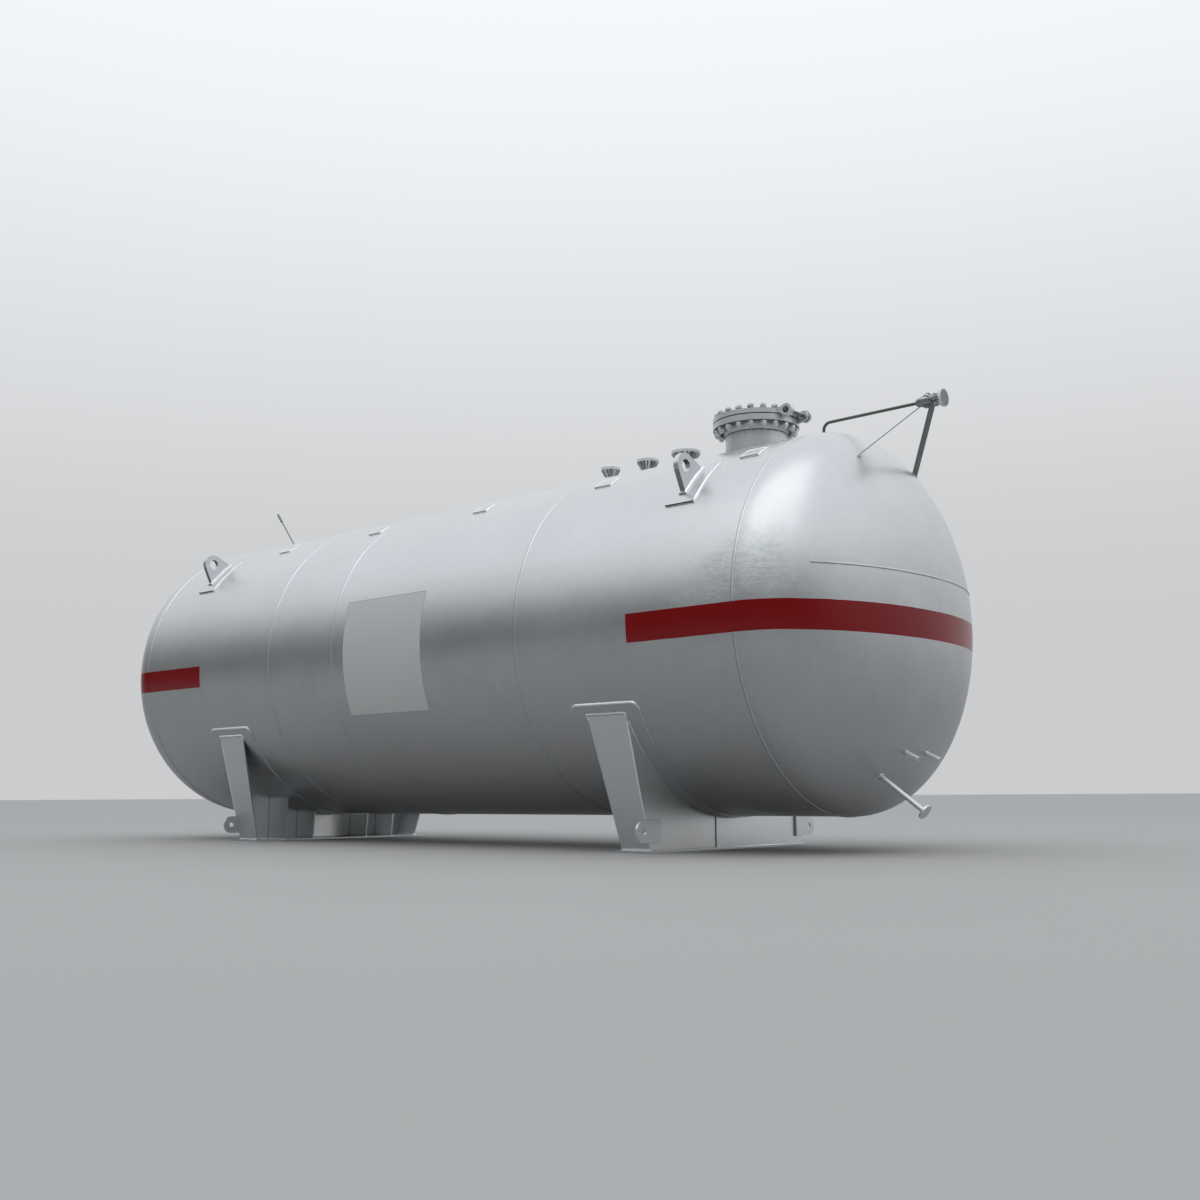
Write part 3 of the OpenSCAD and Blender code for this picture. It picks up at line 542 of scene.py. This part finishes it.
def clear_film():
    """Thin clear film, less see-through along the ridges of its gathers, with a painted highlight on them and painted
    shade in the folds between.
    """
    tree, shader = new_finish("clear_film", Specular_IOR_Level=0.9, Coat_Weight=0.6, Coat_Roughness=0.06)
    ridge = tree.add("ShaderNodeAttribute", attribute_name="ridge").outputs["Fac"]
    creases = tree.noise(45.0, 3, 0.6, warp=2.0)
    sharp = tree.math("ABSOLUTE", tree.minus(creases, 0.5))
    # Painted highlight on ridges and sharp creases and painted shade between them, read from the mesh's attribute.
    lit_and_opaque = tree.plus(tree.times(ridge, 0.88), tree.times(tree.ramp(sharp, 0.05, 0.0), 0.09))
    lit_and_opaque = tree.ramp(lit_and_opaque, 0.10, 0.95)
    tree.feed(shader.inputs["Alpha"], tree.ramp(lit_and_opaque, 0.0, 1.0, 0.50, 0.93))
    colour = tree.mix(lit_and_opaque, (0.15, 0.16, 0.16), (0.92, 0.95, 0.95))
    height = tree.plus(tree.times(sharp, 0.0020), tree.times(tree.noise(150.0, 2, 0.5, warp=1.5), 0.0002))
    wire(tree, shader, colour, tree.ramp(creases, 0.3, 0.7, 0.10, 0.24), height)


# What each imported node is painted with, by the start of its name. The others have plate_silver.
FINISH_OF = {
    "shell_silver": ("shell_course", "near_head", "far_head"),
    "manway_silver": ("manway_neck", "manway_flange", "manway_cover"),
    "gasket_dark": ("manway_gasket",),
    "hinge_silver": ("hinge_ears", "hinge_arms"),
    "pin_steel": ("hinge_pin",),
    "end_silver": ("near_end_plates", "far_end_plates"),
    "web_silver": ("near_web", "far_web"),
    "wear_silver": ("near_wear_plate", "far_wear_plate"),
    "lug_silver": ("lifting_lug", "lug_pads", "near_platform_pads", "far_platform_pads"),
    "bright_silver": ("nozzle", "drain_pipe"),
    "strut_grey": ("gauge_struts", "gauge_flange", "slanted_rod"),
    "pipe_dark": ("gauge_pipe",),
    "valve_steel": ("gauge_valve",),
    "stub_white_lit": ("head_stubs",),
}
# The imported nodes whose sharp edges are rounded, by the start of their names.
ROUNDED = (
    "manway_cover", "manway_flange", "hinge_ears", "hinge_arms", "lifting_lug", "near_end", "far_end", "near_rib",
    "far_rib", "near_base", "far_base", "near_tie", "far_tie", "gauge_flange", "head_stubs", "drain_pipe",
)


# ---- pieces


def as_mesh(bm, name):
    """A mesh with what a bmesh holds. The bmesh is freed."""
    mesh = bpy.data.meshes.new(name)
    bm.to_mesh(mesh)
    bm.free()
    return mesh


def as_object(name, data):
    """A new object in the scene."""
    made = bpy.data.objects.new(name, data)
    bpy.context.scene.collection.objects.link(made)
    return made


def settle(bm, name, finish, body="tank", sharp=40.0):
    """Turns a finished bmesh into a piece of the object that rides on a body."""
    bmesh.ops.recalc_face_normals(bm, faces=bm.faces)
    mesh = as_mesh(bm, name)
    mesh.materials.append(FINISHES[finish])
    mesh.shade_smooth()
    mesh.set_sharp_from_angle(angle=math.radians(sharp))
    piece = as_object(name, mesh)
    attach(piece, body)
    return piece


def merge_into(bm, part):
    """Adds one bmesh to another, and frees it."""
    mesh = as_mesh(part, "part")
    bm.from_mesh(mesh)
    bpy.data.meshes.remove(mesh)


def clamped(value):
    return min(1.0, max(0.0, value))


def cylinder(sides, radius, depth, spot):
    """A new bmesh with a closed cylinder or prism."""
    part = bmesh.new()
    bmesh.ops.create_cone(part, cap_ends=True, segments=sides, radius1=radius, radius2=radius, depth=depth, matrix=spot)
    return part


def soften(part, rims, offset, segments=2):
    """Rounds edges of a bmesh."""
    bmesh.ops.bevel(part, geom=rims, offset=offset, affect="EDGES", segments=segments, profile=0.5, material=-1)


def spin_profile(bm, profile, centre, axis, steps):
    """Turns a line of points once round an axis."""
    verts = [bm.verts.new(at) for at in profile]
    edges = [bm.edges.new(pair) for pair in zip(verts, verts[1:])]
    bmesh.ops.spin(bm, geom=verts + edges, cent=centre, axis=axis, angle=math.tau, steps=steps, use_merge=True)


def edge_paths(node, on_seam):
    """Chains of a node's sharp edges whose ends both lie on a seam."""
    bm = bmesh.new()
    bm.from_mesh(NODES[node].data)
    bmesh.ops.remove_doubles(bm, verts=bm.verts, dist=2e-5)
    least = math.radians(30)
    near = {}
    for edge in bm.edges:
        if len(edge.link_faces) == 2 and edge.calc_face_angle(0) > least and all(on_seam(v.co) for v in edge.verts):
            for v in edge.verts:
                near.setdefault(v, []).append(edge)
    used, paths = set(), []
    starts = [v for v in near if len(near[v]) != 2] + list(near)
    for start in starts:
        for first in near[start]:
            if first in used:
                continue
            chain, edge, at = [start.co.copy()], first, start
            while edge and edge not in used:
                used.add(edge)
                at = edge.other_vert(at)
                chain.append(at.co.copy())
                ways = [e for e in near[at] if e not in used]
                edge = ways[0] if len(near[at]) == 2 and ways else None
            closed = (chain[0] - chain[-1]).length < 1e-6 and len(chain) > 3
            paths.append((chain[:-1] if closed else chain, closed))
    bm.free()
    return paths


def respaced(path, closed, step):
    """The same path with its points at an even distance, and its corners kept."""
    points = path + [path[0]] if closed else path
    out = [points[0]]
    for a, b in zip(points, points[1:]):
        parts = max(1, round((b - a).length / step))
        if (b - out[-1]).length < step * 0.4 and b is not points[-1]:
            continue
        a = out[-1]
        out += [a.lerp(b, k / parts) for k in range(1, parts + 1)]
    return out[:-1] if closed else out


def lay_bead(bm, path, closed, radius, step, sides=8, seed=1):
    """A weld bead: a small ring of edges extruded from point to point along a seam."""
    path = respaced(path, closed, step)
    if len(path) < 2:
        return
    rng = random.Random(seed)
    part = bmesh.new()
    count = len(path)
    frames, up = [], None
    for k, at in enumerate(path):
        after = path[(k + 1) % count] if closed or k < count - 1 else at
        before = path[k - 1] if closed or k else at
        along = (after - before).normalized()
        if up is None:
            up = along.orthogonal().normalized()
        side = along.cross(up).normalized()
        up = side.cross(along).normalized()
        grow = (radius(at) if callable(radius) else radius) * (1 + rng.uniform(-0.10, 0.10))
        turn = Matrix((side, up, along)).transposed().to_4x4()
        frames.append(Matrix.Translation(at) @ turn @ Matrix.Diagonal((grow, grow, 1, 1)))
    bmesh.ops.create_circle(part, cap_ends=False, radius=1.0, segments=sides, matrix=frames[0])
    edges = list(part.edges)
    for last, here in zip(frames, frames[1:]):
        made = bmesh.ops.extrude_edge_only(part, edges=edges)["geom"]
        verts = [g for g in made if isinstance(g, bmesh.types.BMVert)]
        edges = [g for g in made if isinstance(g, bmesh.types.BMEdge) and g.is_boundary]
        bmesh.ops.transform(part, matrix=here @ last.inverted(), verts=verts)
    ends = [e for e in part.edges if e.is_boundary]
    if closed:
        bmesh.ops.bridge_loops(part, edges=ends)
    else:
        bmesh.ops.holes_fill(part, edges=ends)
    merge_into(bm, part)


def on_radius(radius):
    return lambda co: abs(around_axis(co) - radius) < 0.0012


def on_head(co):
    return abs(co.x - head_reach(co)) < 0.003


class TANK_OT_finishes(bpy.types.Operator):
    """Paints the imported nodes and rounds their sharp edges"""

    bl_idname = "tank.finishes"
    bl_label = "Paint Packed Nodes"

    def execute(self, context):
        make_finishes(context.scene.tank.paint)
        for name, node in NODES.items():
            finish = next((look for look, starts in FINISH_OF.items() if name.startswith(starts)), "plate_silver")
            node.data.materials.clear()
            node.data.materials.append(FINISHES[finish])
            if name.startswith(ROUNDED):
                edge = node.modifiers.new("edges", "BEVEL")
                edge.width, edge.segments = 0.0022, 2
                edge.limit_method, edge.angle_limit = "ANGLE", math.radians(40)
                edge.use_clamp_overlap = edge.harden_normals = True
        return {"FINISHED"}


# Each head's level seam: its height over the axis and half its length. A web's seam: its place across.
CHORD_UP, CHORD_HALF, WEB_SEAM_Y = 0.280, 1.22, -0.219


class TANK_OT_girth_seams(bpy.types.Operator):
    """Lays the weld caps of the girth seams and the heads' chord seams"""

    bl_idname = "tank.girth_seams"
    bl_label = "Girth Seams"

    def execute(self, context):
        weld = context.scene.tank.weld
        bm = bmesh.new()
        for x in SEAMS:
            merge_into(bm, self.cap_ring(x, weld))
        settle(bm, "girth_seams", "shell_silver")
        bm = bmesh.new()
        for sign in (1, -1):
            lay_bead(bm, self.chord(sign), False, 0.011, weld.step, seed=5)
        settle(bm, "head_chord_seams", "shell_silver")
        return {"FINISHED"}

    def cap_ring(self, x, weld):
        """The low cap of one girth weld, sunk a little into the shell."""
        part = bmesh.new()
        low = SHELL_R - 0.002
        profile = [
            (x + weld.girth_width * u / 2, 0, AXIS_Z + low + (weld.girth_height + 0.002) * v)
            for u, v in ((-1, 0), (-0.85, 0.6), (-0.4, 0.95), (0.4, 1), (0.85, 0.62), (1, 0))
        ]
        spin_profile(part, profile, (0, 0, AXIS_Z), (1, 0, 0), 240)
        rng = random.Random(round(x * 1000))
        for v in part.verts:
            v.co.x += 0.0015 * math.sin(9 * math.atan2(v.co.y, v.co.z - AXIS_Z) + rng.random() * 0.3)
        return part

    def chord(self, sign):
        """The level seam across one head, just over the red band."""
        points = []
        for k in range(81):
            at = Vector((0, -CHORD_HALF + 2 * CHORD_HALF * k / 80, AXIS_Z + CHORD_UP))
            x = head_reach(at) - 0.0045
            at.x = x if sign > 0 else FAR_WELD + NEAR_WELD - x
            points.append(at)
        return points


class TANK_OT_fillet_welds(bpy.types.Operator):
    """Lays fillet welds along the edges where the plates, lugs, pads and pipes meet what carries them"""

    bl_idname = "tank.fillet_welds"
    bl_label = "Fillet Welds"

    def execute(self, context):
        weld = context.scene.tank.weld
        wear_r, pad_r = (
            max(around_axis(v.co) for v in NODES[name].data.vertices) for name in ("near_wear_plate", "lug_pads")
        )
        base_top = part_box("near_base_plate")[1].z
        brim_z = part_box("near_wear_plate")[1].z
        shell, wear, pad = (on_radius(r) for r in (SHELL_R, wear_r, pad_r))

        def foot(co):
            return abs(co.z - base_top) < 0.0005

        def brim(co, path):
            """A wide bead along a wear plate's upper edge, and a thin one down its sides."""
            return weld.fillet * (0.55 + 1.25 * clamped((co.z - brim_z + 0.075) / 0.05))

        def lower_edge(co, path):
            """A wide bead round a pad, but a thin one along the edge that looks down."""
            reach = max(abs(p.y) for p in path)
            return weld.fillet * (0.5 if abs(co.y) > reach - 0.012 else 1.6)

        jobs = {
            "platform_pad_welds": [(n, shell, lower_edge) for n in ("near_platform_pads", "far_platform_pads")],
            "lug_welds": [("lug_pads", shell, lower_edge)] + [(f"lifting_lug_{i}", pad, 2.3) for i in range(1, 5)],
            "wear_plate_welds": [(f"{s}_wear_plate", shell, brim) for s in ("near", "far")],
            "saddle_welds": [
                (f"{s}_{n}", where, grow)
                for s in ("near", "far")
                for n, grow in (("web", 0.8), ("end_plates", 1.5), ("ribs", 0.8))
                for where in (wear, foot)
            ],
            "nozzle_welds": [(f"nozzle_{i}", shell, 0.9) for i in (1, 2, 3)] + [("manway_neck", shell, 1.1)],
            "head_fitting_welds": [(n, on_head, 0.7) for n in ("head_stubs", "drain_pipe", "gauge_struts")],
        }
        for name, seams in jobs.items():
            bm = bmesh.new()
            for node, where, grow in seams:
                for k, (path, closed) in enumerate(edge_paths(node, where)):
                    size = partial(grow, path=path) if callable(grow) else weld.fillet * grow
                    lay_bead(bm, path, closed, size, weld.step, seed=k)
            if len(bm.verts) == 0:
                raise RuntimeError(f"no seam was found for {name}")
            settle(bm, name, "weld_silver")
        # The web and hub seams are dark beads: a painted shade line along each joint.
        bm = bmesh.new()
        self.web_seams(bm, base_top, AXIS_Z - math.sqrt(wear_r ** 2 - WEB_SEAM_Y ** 2))
        self.hub_seam(bm)
        settle(bm, "dark_seams", "seam_painted_shade")
        return {"FINISHED"}

    def web_seams(self, bm, base_top, top):
        """The upright seam in each web, a little off the middle."""
        for x in (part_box("near_web")[1].x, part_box("far_web")[0].x):
            ends = [Vector((x, WEB_SEAM_Y, z)) for z in (base_top, top)]
            lay_bead(bm, ends, False, 0.0065, 0.02, seed=3)

    def hub_seam(self, bm):
        """The seam between the manway's neck and its flange hub."""
        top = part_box("manway_neck")[1].z
        radius = max(math.hypot(v.co.x - MANWAY.x, v.co.y) for v in NODES["manway_neck"].data.vertices)
        ring = [
            Vector((MANWAY.x + radius * math.cos(a), radius * math.sin(a), top))
            for a in (math.tau * k / 90 for k in range(90))
        ]
        lay_bead(bm, ring, True, 0.0045, 0.018, seed=4)


class TANK_OT_manway_studs(bpy.types.Operator):
    """Sets the studs and nuts round the manway, the upper halves on the cover and the lower ones on the flange"""

    bl_idname = "tank.manway_studs"
    bl_label = "Manway Studs"

    def execute(self, context):
        stud = context.scene.tank.stud
        above, below = bmesh.new(), bmesh.new()
        for k in range(stud.count):
            angle = math.tau * (k + 0.5) / stud.count
            at = MANWAY + Vector((stud.circle * math.cos(angle), stud.circle * math.sin(angle), 0))
            turn = random.Random(k).uniform(0, 1)
            self.fastener(above, stud, at, COVER_HI.z, stud.top_end, 1, turn)
            self.fastener(below, stud, at, FLANGE_FACE, stud.low_end, -1, turn)
        settle(above, "manway_upper_nuts", "upper_nuts_shaded", body="manway_lid")
        settle(below, "manway_lower_nuts", "lower_nuts_lit")
        return {"FINISHED"}

    def fastener(self, bm, stud, at, face, end, way, turn):
        """One nut against a face, with the stud's end standing out of it."""
        spot = Matrix.Translation((at.x, at.y, face + way * stud.nut_h / 2))
        nut = cylinder(6, stud.flats / math.sqrt(3), stud.nut_h, spot @ Matrix.Rotation(turn, 4, "Z"))
        soften(nut, [e for e in nut.edges if abs(e.verts[0].co.z - e.verts[1].co.z) < 1e-5], 0.0028)
        merge_into(bm, nut)
        sunk = 0.004
        spot = Matrix.Translation((at.x, at.y, face + way * (end - sunk) / 2))
        shank = cylinder(20, stud.shank, end + sunk, spot)
        tip = face + way * end
        soften(shank, [e for e in shank.edges if all(abs(v.co.z - tip) < 1e-4 for v in e.verts)], 0.003, 3)
        merge_into(bm, shank)


class TANK_OT_hinge_washers(bpy.types.Operator):
    """Sets a dark washer and a split pin at both ends of the hinge pin"""

    bl_idname = "tank.hinge_washers"
    bl_label = "Hinge Washers"

    def execute(self, context):
        lo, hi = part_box("hinge_pin")
        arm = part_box("hinge_arms")[1].y
        middle = (lo + hi) / 2
        bm = bmesh.new()
        for side in (1, -1):
            spot = Matrix.Translation((middle.x, side * (arm + 0.0022), middle.z))
            washer = cylinder(40, 0.027, 0.0034, spot @ Matrix.Rotation(math.pi / 2, 4, "X"))
            rims = [
                e for e in washer.edges
                if e.calc_length() < 0.006 and len(e.link_faces) == 2 and e.calc_face_angle(0) > 1
            ]
            soften(washer, rims, 0.0008)
            merge_into(bm, washer)
            eye = Vector((middle.x, side * (arm + 0.0055), middle.z))
            split_pin = [eye + Vector((0.006, 0, -0.028)), eye, eye + Vector((-0.004, 0, 0.024))]
            lay_bead(bm, split_pin, False, 0.0017, 0.01, 6)
        settle(bm, "hinge_washers", "pin_steel")
        return {"FINISHED"}


class TANK_OT_film_covers(bpy.types.Operator):
    """Gathers clear film over the nozzle flanges, the gauge flange and the gauge line's valve"""

    bl_idname = "tank.film_covers"
    bl_label = "Film Covers"

    def execute(self, context):
        film = context.scene.tank.film
        for i, waist in ((1, 0.0285), (2, 0.038), (3, 0.054)):
            lo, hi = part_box(f"film_cap_{i}")
            middle = Matrix.Translation(((lo.x + hi.x) / 2, 0, hi.z))
            rim = (hi.x - lo.x) / 2 - 0.001
            made = self.cover(f"film_cover_{i}", middle, rim, waist, hi.z - lo.z, 0.024, film, 20 + i)
            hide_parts(f"film_cap_{i}")
        lo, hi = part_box("gauge_flange")
        middle = Matrix.Translation((hi.x + 0.0026, 0, (lo.z + hi.z) / 2)) @ Matrix.Rotation(math.pi / 2, 4, "Y")
        made = self.cover("gauge_flange_film", middle, 0.0715, 0.037, 0.084, 0.019, film, 31, 0.30)
        self.declare("gauge_flange", *made)
        self.valve_wrap(film)
        return {"FINISHED"}

    def declare(self, carrier, piece, area, *ties):
        """Returns the piece. 2 per cent wider than its area asks for."""
        return piece

    def cover(self, name, middle, rim, waist, height, flange_t, film, seed, face=0.92):
        """Film over one flange: face down at the origin, gathered to a tie below the flange."""
        knot = min(0.026 - height, -flange_t - 0.012)
        fold = -flange_t - 0.003
        turn = 0.009
        outline = [(0.0, -0.001), (rim * 0.45, -0.001), (rim * 0.8, -0.001), (rim - turn, -0.0012)]
        outline += [(rim - turn + turn * math.sin(a), -turn + 0.008 * math.cos(a)) for a in (0.4, 0.8, 1.2, 1.57)]
        outline += [(rim - 0.0005 * k, -turn + (fold + turn) * k / 4) for k in range(1, 5)]
        for k in range(1, 17):
            t = k / 16
            outline.append((rim - 0.002 + (waist + 0.003 - rim + 0.002) * t ** 1.1, fold + (knot - fold) * t))
        flare = -height - knot
        outline += [(waist + 0.002 + 0.45 * abs(flare) * t ** 1.5, knot + flare * t) for t in (0.2, 0.45, 0.7, 1.0)]
        bm = bmesh.new()
        spin_profile(bm, [(r, 0, z) for r, z in outline], (0, 0, 0), (0, 0, 1), 252)
        bmesh.ops.remove_doubles(bm, verts=bm.verts, dist=1e-5)
        ridge = bm.verts.layers.float.new("ridge")
        rng = random.Random(seed)
        phase = [rng.uniform(0, math.tau) for _ in range(4)]
        rim_h = flange_t + 0.004
        for v in bm.verts:
            r, z = math.hypot(v.co.x, v.co.y), v.co.z
            a = math.atan2(v.co.y, v.co.x)
            warped = a + 0.10 * math.sin(3 * a + phase[0]) + 0.05 * math.sin(7 * a + phase[1])
            wave = abs(math.sin(film.pleats * warped / 2 + phase[2])) ** 0.6
            wave *= 0.84 + 0.16 * math.sin(5 * a + phase[3])
            down = clamped((-z - flange_t) / (-knot - flange_t))
            crease = noise.noise(Vector((v.co.x * 45, v.co.y * 45, z * 22 + seed)))
            below = clamped((-z - rim_h) / 0.012)
            # Painted light of the gathers: bright on the face and round the rim, painted shade down the valleys between
            # pleats below the rim. face sets how bright the film over the flange's face is.
            fold_sheen = face if z > -0.004 and r < rim * 0.88 else 0.92
            v[ridge] = clamped(fold_sheen - below * (1.0 - wave) * 1.6 + 0.10 * crease)
            if r < 1e-6:
                continue
            pull = film.depth * (down ** 0.7) * (1.25 - down) * (wave - 0.7)
            if z < knot + 0.004:
                pull = 0.30 * (wave - 0.6) * min(1.0, (knot + 0.004 - z) / 0.012)
            grown = r * (1 + pull) + 0.0035 * crease * down
            if z > -0.002:
                v.co.z += 0.0007 * crease
            grown = min(max(grown, min(r, waist + 0.0012)), rim)
            v.co.x, v.co.y = grown * math.cos(a), grown * math.sin(a)
            if z < knot - 0.006:
                v.co.z += 0.0045 * math.sin(9 * a + phase[1])
        bmesh.ops.transform(bm, matrix=middle, verts=bm.verts)
        return *self.sheet(bm, name, film, 80), self.tie(name + "_tie", middle, waist, knot)

    def sheet(self, bm, name, film, sharp):
        """A piece of film with its thickness, and its area."""
        area = sum(f.calc_area() for f in bm.faces)
        piece = settle(bm, name, "clear_film", sharp=sharp)
        wall = piece.modifiers.new("film", "SOLIDIFY")
        wall.thickness, wall.offset = film.thickness, -1
        return piece, area

    def tie(self, name, middle, waist, knot):
        bm = bmesh.new()
        radius = waist + 0.004
        ring = [
            middle @ Vector((radius * math.cos(a), radius * math.sin(a), knot + 0.001 * math.sin(2 * a)))
            for a in (math.tau * k / 40 for k in range(40))
        ]
        lay_bead(bm, ring, True, 0.0025, 0.004, 6)
        return settle(bm, name, "clear_film")

    def valve_wrap(self, film):
        """Crumpled film round the valve, tied to the pipe at one end and tucked under the flange's film."""
        lo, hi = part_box("gauge_valve")
        level = sum(corner.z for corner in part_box("gauge_flange")) / 2
        start, end, body = lo.x - 0.022, hi.x + 0.008, (hi.y - lo.y) / 2
        profile = []
        for k in range(45):
            t = k / 44
            swell = math.sin(math.pi * clamped((t - 0.04) / 0.92)) ** 0.35
            profile.append((start + (end - start) * t, 0, level + 0.0150 + (body - 0.006) * swell))
        bm = bmesh.new()
        spin_profile(bm, profile, (0, 0, level), (1, 0, 0), 120)
        ridge = bm.verts.layers.float.new("ridge")
        stem = (lo.x + hi.x) / 2
        for v in bm.verts:
            away = Vector((0, v.co.y, v.co.z - level))
            out = away.normalized()
            from_ends = clamped(min(v.co.x - start, end - v.co.x) / 0.03)
            twist = math.atan2(out.y, out.z) + 9.0 * (v.co.x - stem)
            folds = noise.noise(Vector((v.co.x * 34, v.co.y * 48, v.co.z * 48)))
            pleat = abs(math.sin(5.5 * twist + 2.6 * folds)) ** 0.6
            sharp = 1 - abs(noise.noise(Vector((v.co.x * 60 + 9, 2.2 * twist, 3.0)))) * 2
            v.co += out * from_ends * (0.005 * folds + 0.0055 * (pleat - 0.4) + 0.0035)
            over = clamped(1.35 - abs(v.co.x - stem) / 0.030) * max(0.0, out.z) ** 1.6
            v.co.z += 0.029 * over
            # Painted light: folds that face up are lighter, as if lit from above, and those facing down darker, as
            # painted shade.
            sky = clamped(0.40 + out.z)
            v[ridge] = clamped((1.25 * pleat * max(sharp, 0.35) + 0.35 * folds) * sky)
        self.declare("gauge_valve", *self.sheet(bm, "valve_film", film, 60))


# The camera fitted to the photograph: its place, yaw, pitch and roll in degrees, lens and shift.
CAMERA_AT, CAMERA_TURN, CAMERA_LENS, CAMERA_SHIFT = (9.178, -9.086, 0.442), (131.056, 8.989, -0.328), 39.465, -0.01033
FLOOR_R = 600.0


class TANK_OT_stage(bpy.types.Operator):
    """Sets the pale floor, the soft backdrop, the softbox and the camera"""

    bl_idname = "tank.stage"
    bl_label = "Studio Stage"

    def execute(self, context):
        stage = context.scene.tank.stage
        self.floor(stage)
        self.backdrop(context.scene, stage)
        self.softbox(stage)
        self.camera(context.scene)
        context.scene.view_settings.view_transform = "Standard"
        return {"FINISHED"}

    def floor(self, stage):
        bm = bmesh.new()
        bmesh.ops.create_circle(bm, cap_ends=True, radius=FLOOR_R, segments=96)
        mesh = as_mesh(bm, "studio_floor")
        tree, shader = new_finish("studio_floor", Roughness=0.9, Specular_IOR_Level=0.1)
        grain = tree.noise(0.6, 3, 0.6)
        dark = tuple(c * 0.97 for c in stage.floor)
        tree.feed(shader.inputs["Base Color"], tree.mix(grain, dark, stage.floor))
        mesh.materials.append(FINISHES["studio_floor"])
        as_object("studio_floor", mesh)

    def backdrop(self, scene, stage):
        world = bpy.data.worlds.new("studio")
        scene.world = world
        world.use_nodes = True
        tree = Tree(world.node_tree)
        way = tree.add("ShaderNodeTexCoord").outputs["Generated"]
        way = tree.add("ShaderNodeSeparateXYZ", i0=way).outputs
        low = tree.mix(tree.ramp(way[1], -0.45, 0.35), stage.flag, stage.horizon)
        sky = tree.mix(tree.ramp(way[2], 0.10, 0.62), low, stage.zenith)
        tree.give(tree.tree.nodes["Background"].inputs, Color=sky, Strength=1.0)

    def softbox(self, stage):
        lamp = bpy.data.lights.new("softbox", "AREA")
        lamp.shape, lamp.size, lamp.size_y = "RECTANGLE", 14.0, 9.0
        lamp.energy = stage.softbox
        light = as_object("softbox", lamp)
        light.location = (3.5, -5.0, 12.0)
        light.rotation_euler = (Vector((0, 0, AXIS_Z)) - light.location).to_track_quat("-Z", "Y").to_euler()

    def camera(self, scene):
        lens = bpy.data.cameras.new("camera")
        lens.sensor_width, lens.lens, lens.shift_y = 36.0, CAMERA_LENS, CAMERA_SHIFT
        lens.clip_start, lens.clip_end = 0.1, 2000.0
        yaw, pitch, roll = (math.radians(a) for a in CAMERA_TURN)
        ahead = Vector((math.cos(yaw) * math.cos(pitch), math.sin(yaw) * math.cos(pitch), math.sin(pitch)))
        right = Vector((math.sin(yaw), -math.cos(yaw), 0))
        up = right.cross(ahead)
        across = math.cos(roll) * right + math.sin(roll) * up
        upward = -math.sin(roll) * right + math.cos(roll) * up
        camera = as_object("camera", lens)
        turn = Matrix((across, upward, -ahead)).transposed().to_4x4()
        camera.matrix_world = Matrix.Translation(CAMERA_AT) @ turn
        scene.camera = camera


class TANK_PT_builder(bpy.types.Panel):
    """Builds the tank piece by piece"""

    bl_idname = "TANK_PT_builder"
    bl_label = "Pressure Tank"
    bl_space_type = "VIEW_3D"
    bl_region_type = "UI"
    bl_category = "Tank"

    def draw(self, context):
        for part in STEPS:
            self.layout.operator(part.bl_idname)
        for group in TankSettings.__annotations__:
            settings = getattr(context.scene.tank, group)
            box = self.layout.box()
            box.label(text=group.title())
            for key in settings.__annotations__:
                box.prop(settings, key)


STEPS = (
    TANK_OT_stage, TANK_OT_finishes, TANK_OT_girth_seams, TANK_OT_fillet_welds, TANK_OT_manway_studs,
    TANK_OT_hinge_washers, TANK_OT_film_covers,
)
CLASSES = (
    PaintSettings, WeldSettings, StudSettings, FilmSettings, StageSettings, TankSettings, *STEPS, TANK_PT_builder,
)


def register():
    for cls in CLASSES:
        bpy.utils.register_class(cls)
    bpy.types.Scene.tank = PointerProperty(type=TankSettings)


def unregister():
    del bpy.types.Scene.tank
    for cls in reversed(CLASSES):
        bpy.utils.unregister_class(cls)


def main():
    register()
    for part in STEPS:
        group, name = part.bl_idname.split(".")
        getattr(getattr(bpy.ops, group), name)()


if __name__ == "__main__":
    main()
